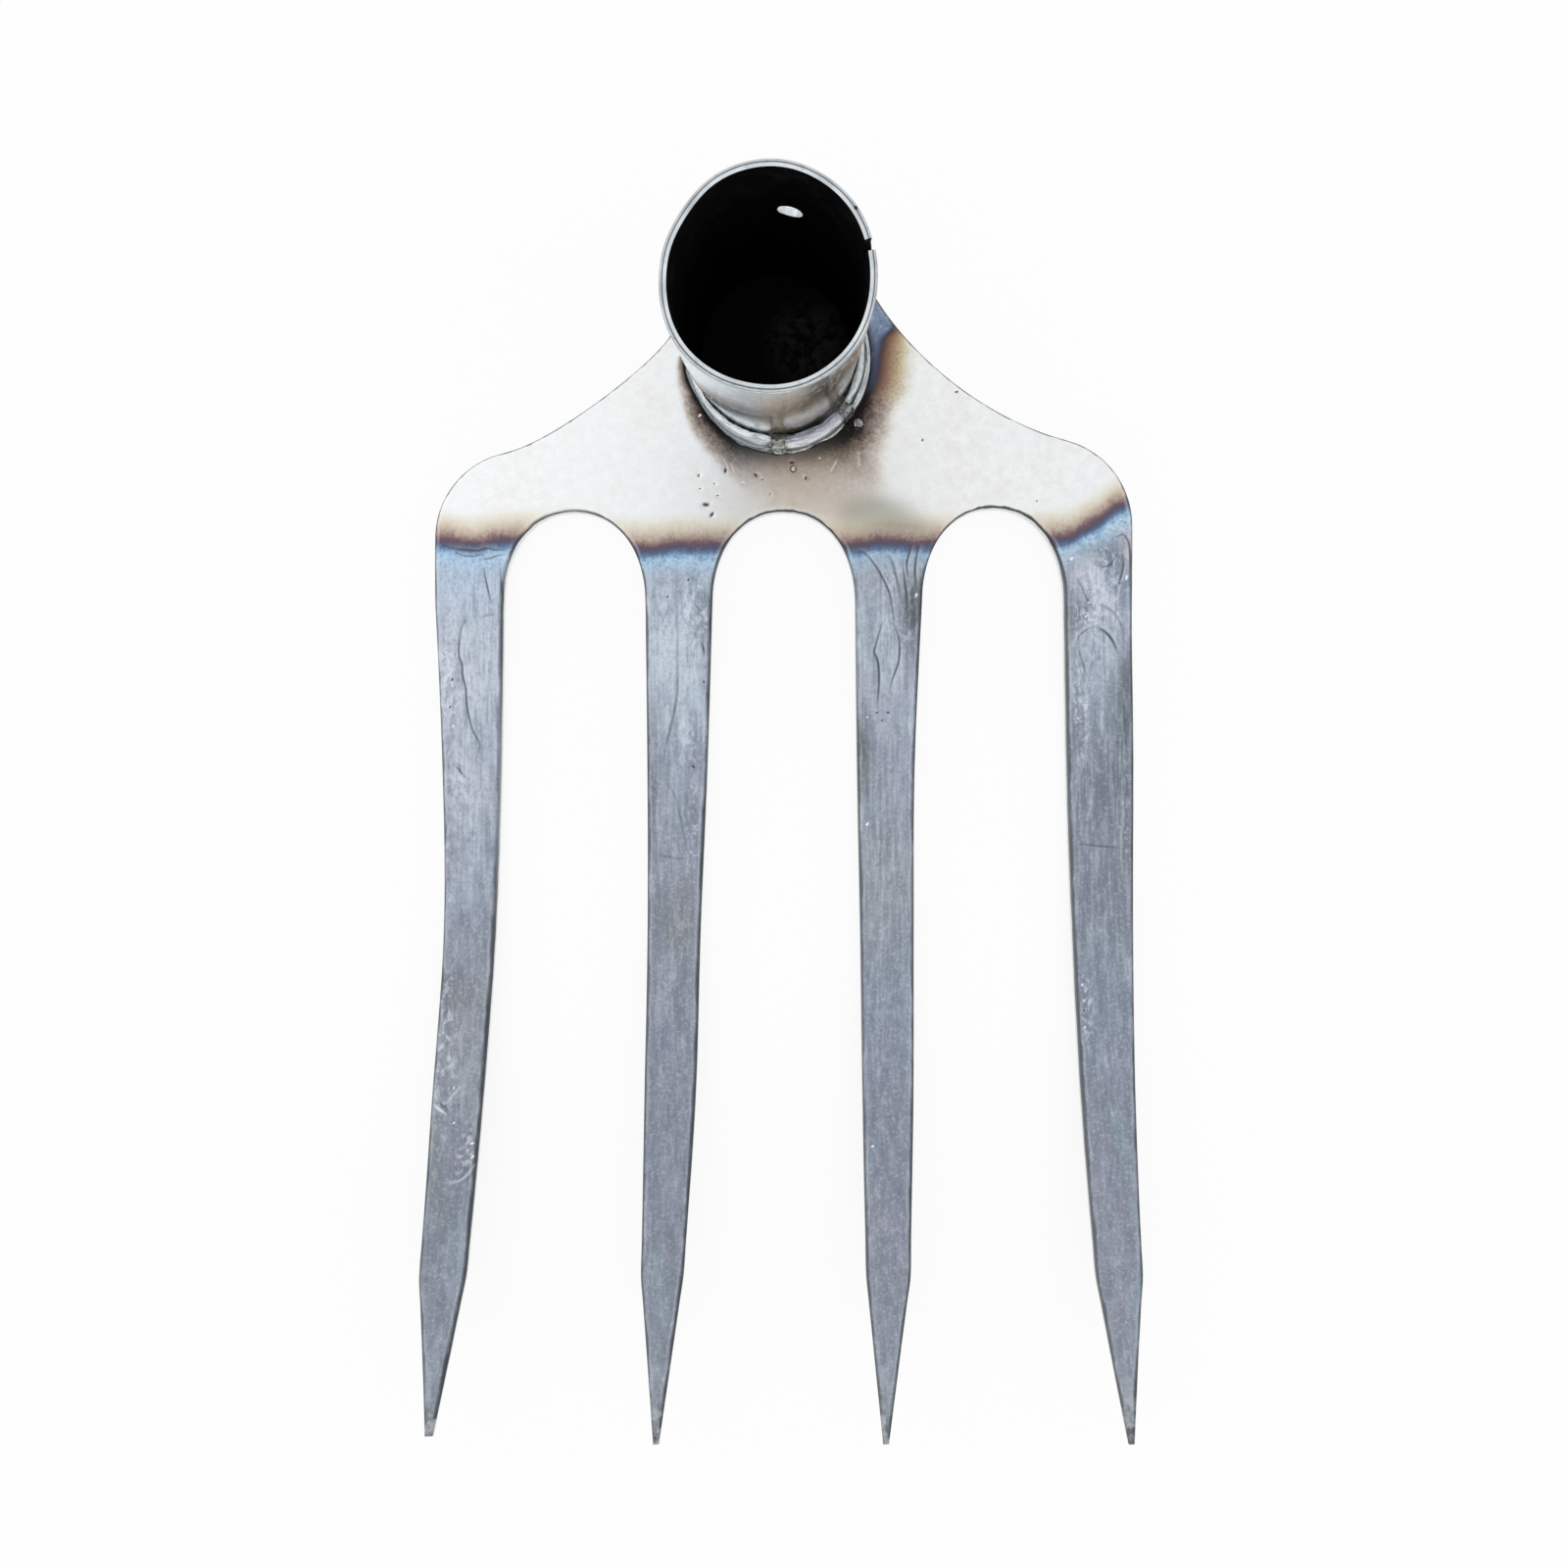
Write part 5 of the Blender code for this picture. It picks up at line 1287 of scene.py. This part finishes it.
def meltedWeldMetal(name, run, arcLength):
    # Weld metal, frozen smooth and shiny in long strands, with grey slag in patches. Its colours hold
    # painted highlights along the strands and black lines along their edges, partly burnt and partly
    # painted shade and reflection.
    add, paint, finish = newMaterial(name)
    bead = add("Attribute", out="Vector", attribute_name="bead")
    axes = add("SeparateXYZ", [bead]).node.outputs
    moved = add("VectorMath", [bead, (run["seed"] * 90, 0.0, 0.0)], operation="ADD")
    stretched = add("VectorMath", [moved, (0.25, 0.12, 0.0)], operation="MULTIPLY")
    streaks = add("TexNoise", {"Vector": stretched, "Scale": 1.0, "Detail": 3.0, "Roughness": 0.55})
    place = add("VectorMath", {0: add("TexCoord", out="Object"), "Scale": 1000.0}, operation="SCALE")
    slag = add("TexNoise", {"Vector": place, "Scale": 1 / 0.8, "Detail": 4.0, "Roughness": 0.65})
    slope = add("Math", [axes[1], [streaks, 0.3, 0.7, -7.0, 7.0]], operation="ADD")
    color = add("ValToRGB", [[slope, 0.0, 90.0, 0.0, 1.0]], stops=run["tones"])
    atStart, atEnd, dusk = run["dusk"]
    burntEnd = add("Math", [axes[2], [slag, 0.3, 0.7, -0.8, 0.8]], operation="ADD")
    # dark streaks are painted reflection, and dusk paints the run lighter or duller along its length as
    # its highlights come and go
    color = paint(
        color,
        ([streaks, 0.36, 0.46, 0.55, 0.0], "#525B60"),
        ([axes[0], 0.15 * arcLength, arcLength, atStart, atEnd], dusk),
        ([slag, 0.4, 0.5, run["slag"], 0.0], "#4B5054"),
        ([burntEnd, 0.2, 1.0, 0.5, 0.0], "#3C3C39"))
    bright = add("RGBToBW", [color])
    roughness = add("MapRange", [bright, 0.05, 0.7, 0.42, 0.13])
    metallic = add("MapRange", [bright, 0.1, 0.5, 1.0, 0.25])
    bump = add("Bump", {"Height": slag, "Strength": 0.15, "Distance": 0.05 * mm})
    return finish(Base_Color=color, Metallic=metallic, Roughness=roughness, Normal=bump)


def spatteredSteel():
    # Balls of weld metal: bright and smooth on top, darker round the foot, partly burnt and partly painted
    # shade under the ball.
    add, paint, finish = newMaterial("spatteredSteel")
    height = add("SeparateXYZ", [add("TexCoord", out="Object")]).node.outputs[2]
    low = plate["thickness"] * mm
    slag = add("TexNoise", {"Vector": add("TexCoord", out="Object"), "Scale": 1000 / 0.8, "Detail": 3.0})
    color = paint(
        "#6F7475",
        ([slag, 0.4, 0.6, 0.0, 1.0], "#DDE1E2"),
        ([height, low + 0.2 * mm, low + 0.9 * mm, 0.9, 0.0], "#3A3836"))
    return finish(Base_Color=color, Metallic=1.0, Roughness=0.2)


studio = {
    "floorColor": "#FDFDFD",
    "floorSize": 6000.0,
    "floorBelow": 0.3,  # clear of the plate's back
    "floorOwnWhite": 0.86,  # share of plain white, which thins the shadow as the photo's floor does
    "skyForMatt": 0.9,
    "skyForGloss": 1.0,
    "wallsForGloss": 0.85,  # walls greyer than the ceiling draw edges on the steel
    "lamps": (
        {"name": "softboxLeft", "at": (-620, 420, 900), "size": 700, "watts": 0.55},
        {"name": "softboxRight", "at": (700, -300, 800), "size": 600, "watts": 0.25},
    ),
}


def makeFloor():
    # matt white paper, which shows the camera part of its own white, so that its shadow is thin
    add, paint, finish = newMaterial("paperFloor")
    made = finish(Base_Color=linear(studio["floorColor"]), Roughness=0.9, Specular_IOR_Level=0.0)
    tree = made.node_tree
    glow = add("Emission", {"Color": (1, 1, 1, 1), "Strength": 1.0})
    light = add("LightPath").node.outputs
    seen = add("Math", [light["Is Camera Ray"], light["Is Transmission Ray"]], operation="MAXIMUM")
    seen = add("Math", [seen, light["Is Glossy Ray"]], operation="MAXIMUM")
    seen = add("Math", [seen, studio["floorOwnWhite"]], operation="MULTIPLY")
    mixed = add("MixShader", {0: seen, 1: tree.nodes["Principled BSDF"].outputs[0], 2: glow})
    tree.links.new(mixed, tree.nodes["Material Output"].inputs["Surface"])
    half = studio["floorSize"] / 2
    mesh = bpy.data.meshes.new("paperFloor")
    low = -studio["floorBelow"]
    corners = [(-half, -half), (half, -half), (half, half), (-half, half)]
    mesh.from_pydata([(x * mm, (y - 100) * mm, low * mm) for x, y in corners], [], [(0, 1, 2, 3)])
    mesh.materials.append(made)
    floor = bpy.data.objects.new("paperFloor", mesh)
    bpy.context.scene.collection.objects.link(floor)


def makeLight():
    world = bpy.data.worlds.new("whiteRoom")
    bpy.context.scene.world = world
    world.use_nodes = True
    tree = world.node_tree
    add = partial(addNode, tree)
    light = add("LightPath").node.outputs
    height = add("SeparateXYZ", [add("TexCoord", out="Generated")]).node.outputs[2]
    gloss = add("MapRange", [height, 0.05, 0.6, studio["wallsForGloss"], studio["skyForGloss"]],
                interpolation_type="SMOOTHSTEP")
    strength = add("MapRange", [light["Is Glossy Ray"], 0.0, 1.0, studio["skyForMatt"], gloss])
    shown = add("Math", [light["Is Camera Ray"], light["Is Transmission Ray"]], operation="MAXIMUM")
    strength = add("MapRange", [shown, 0.0, 1.0, strength, 1.0])
    tree.links.new(strength, tree.nodes["Background"].inputs["Strength"])
    tree.nodes["Background"].inputs["Color"].default_value = (1, 1, 1, 1)
    target = Vector((0, -100 * mm, 0))
    for lamp in studio["lamps"]:
        data = bpy.data.lights.new(lamp["name"], "AREA")
        data.size = lamp["size"] * mm
        data.energy = lamp["watts"]
        made = bpy.data.objects.new(lamp["name"], data)
        made.location = Vector(lamp["at"]) * mm
        made.rotation_euler = (target - made.location).to_track_quat("-Z", "Y").to_euler()
        bpy.context.scene.collection.objects.link(made)


# The photograph was taken straight down, from over the middle of the tines
view = {"at": (0.07, -101.7, 276.0), "lens": 26.39, "sensor": 36.0}


def makeCamera():
    data = bpy.data.cameras.new("overhead")
    data.lens = view["lens"]
    data.sensor_width = view["sensor"]
    data.clip_start = 0.01
    camera = bpy.data.objects.new("overhead", data)
    camera.location = Vector(view["at"]) * mm
    bpy.context.scene.collection.objects.link(camera)
    bpy.context.scene.camera = camera


bpy.context.scene.view_settings.view_transform = "Standard"
makeCamera()
makeLight()
makeFloor()
print("camera, light and floor placed")

makeTinePlate(forgedPlateSteel())
makeSocketTube(rolledTubeSteel(), sawnRimSteel(), sootAndShadeBore())
for node in weldRuns:
    makeWeldRun(node)
ballSteel = spatteredSteel()
for node in spatter:
    makeSpatter(node, ballSteel)
print("weld and spatter laid")
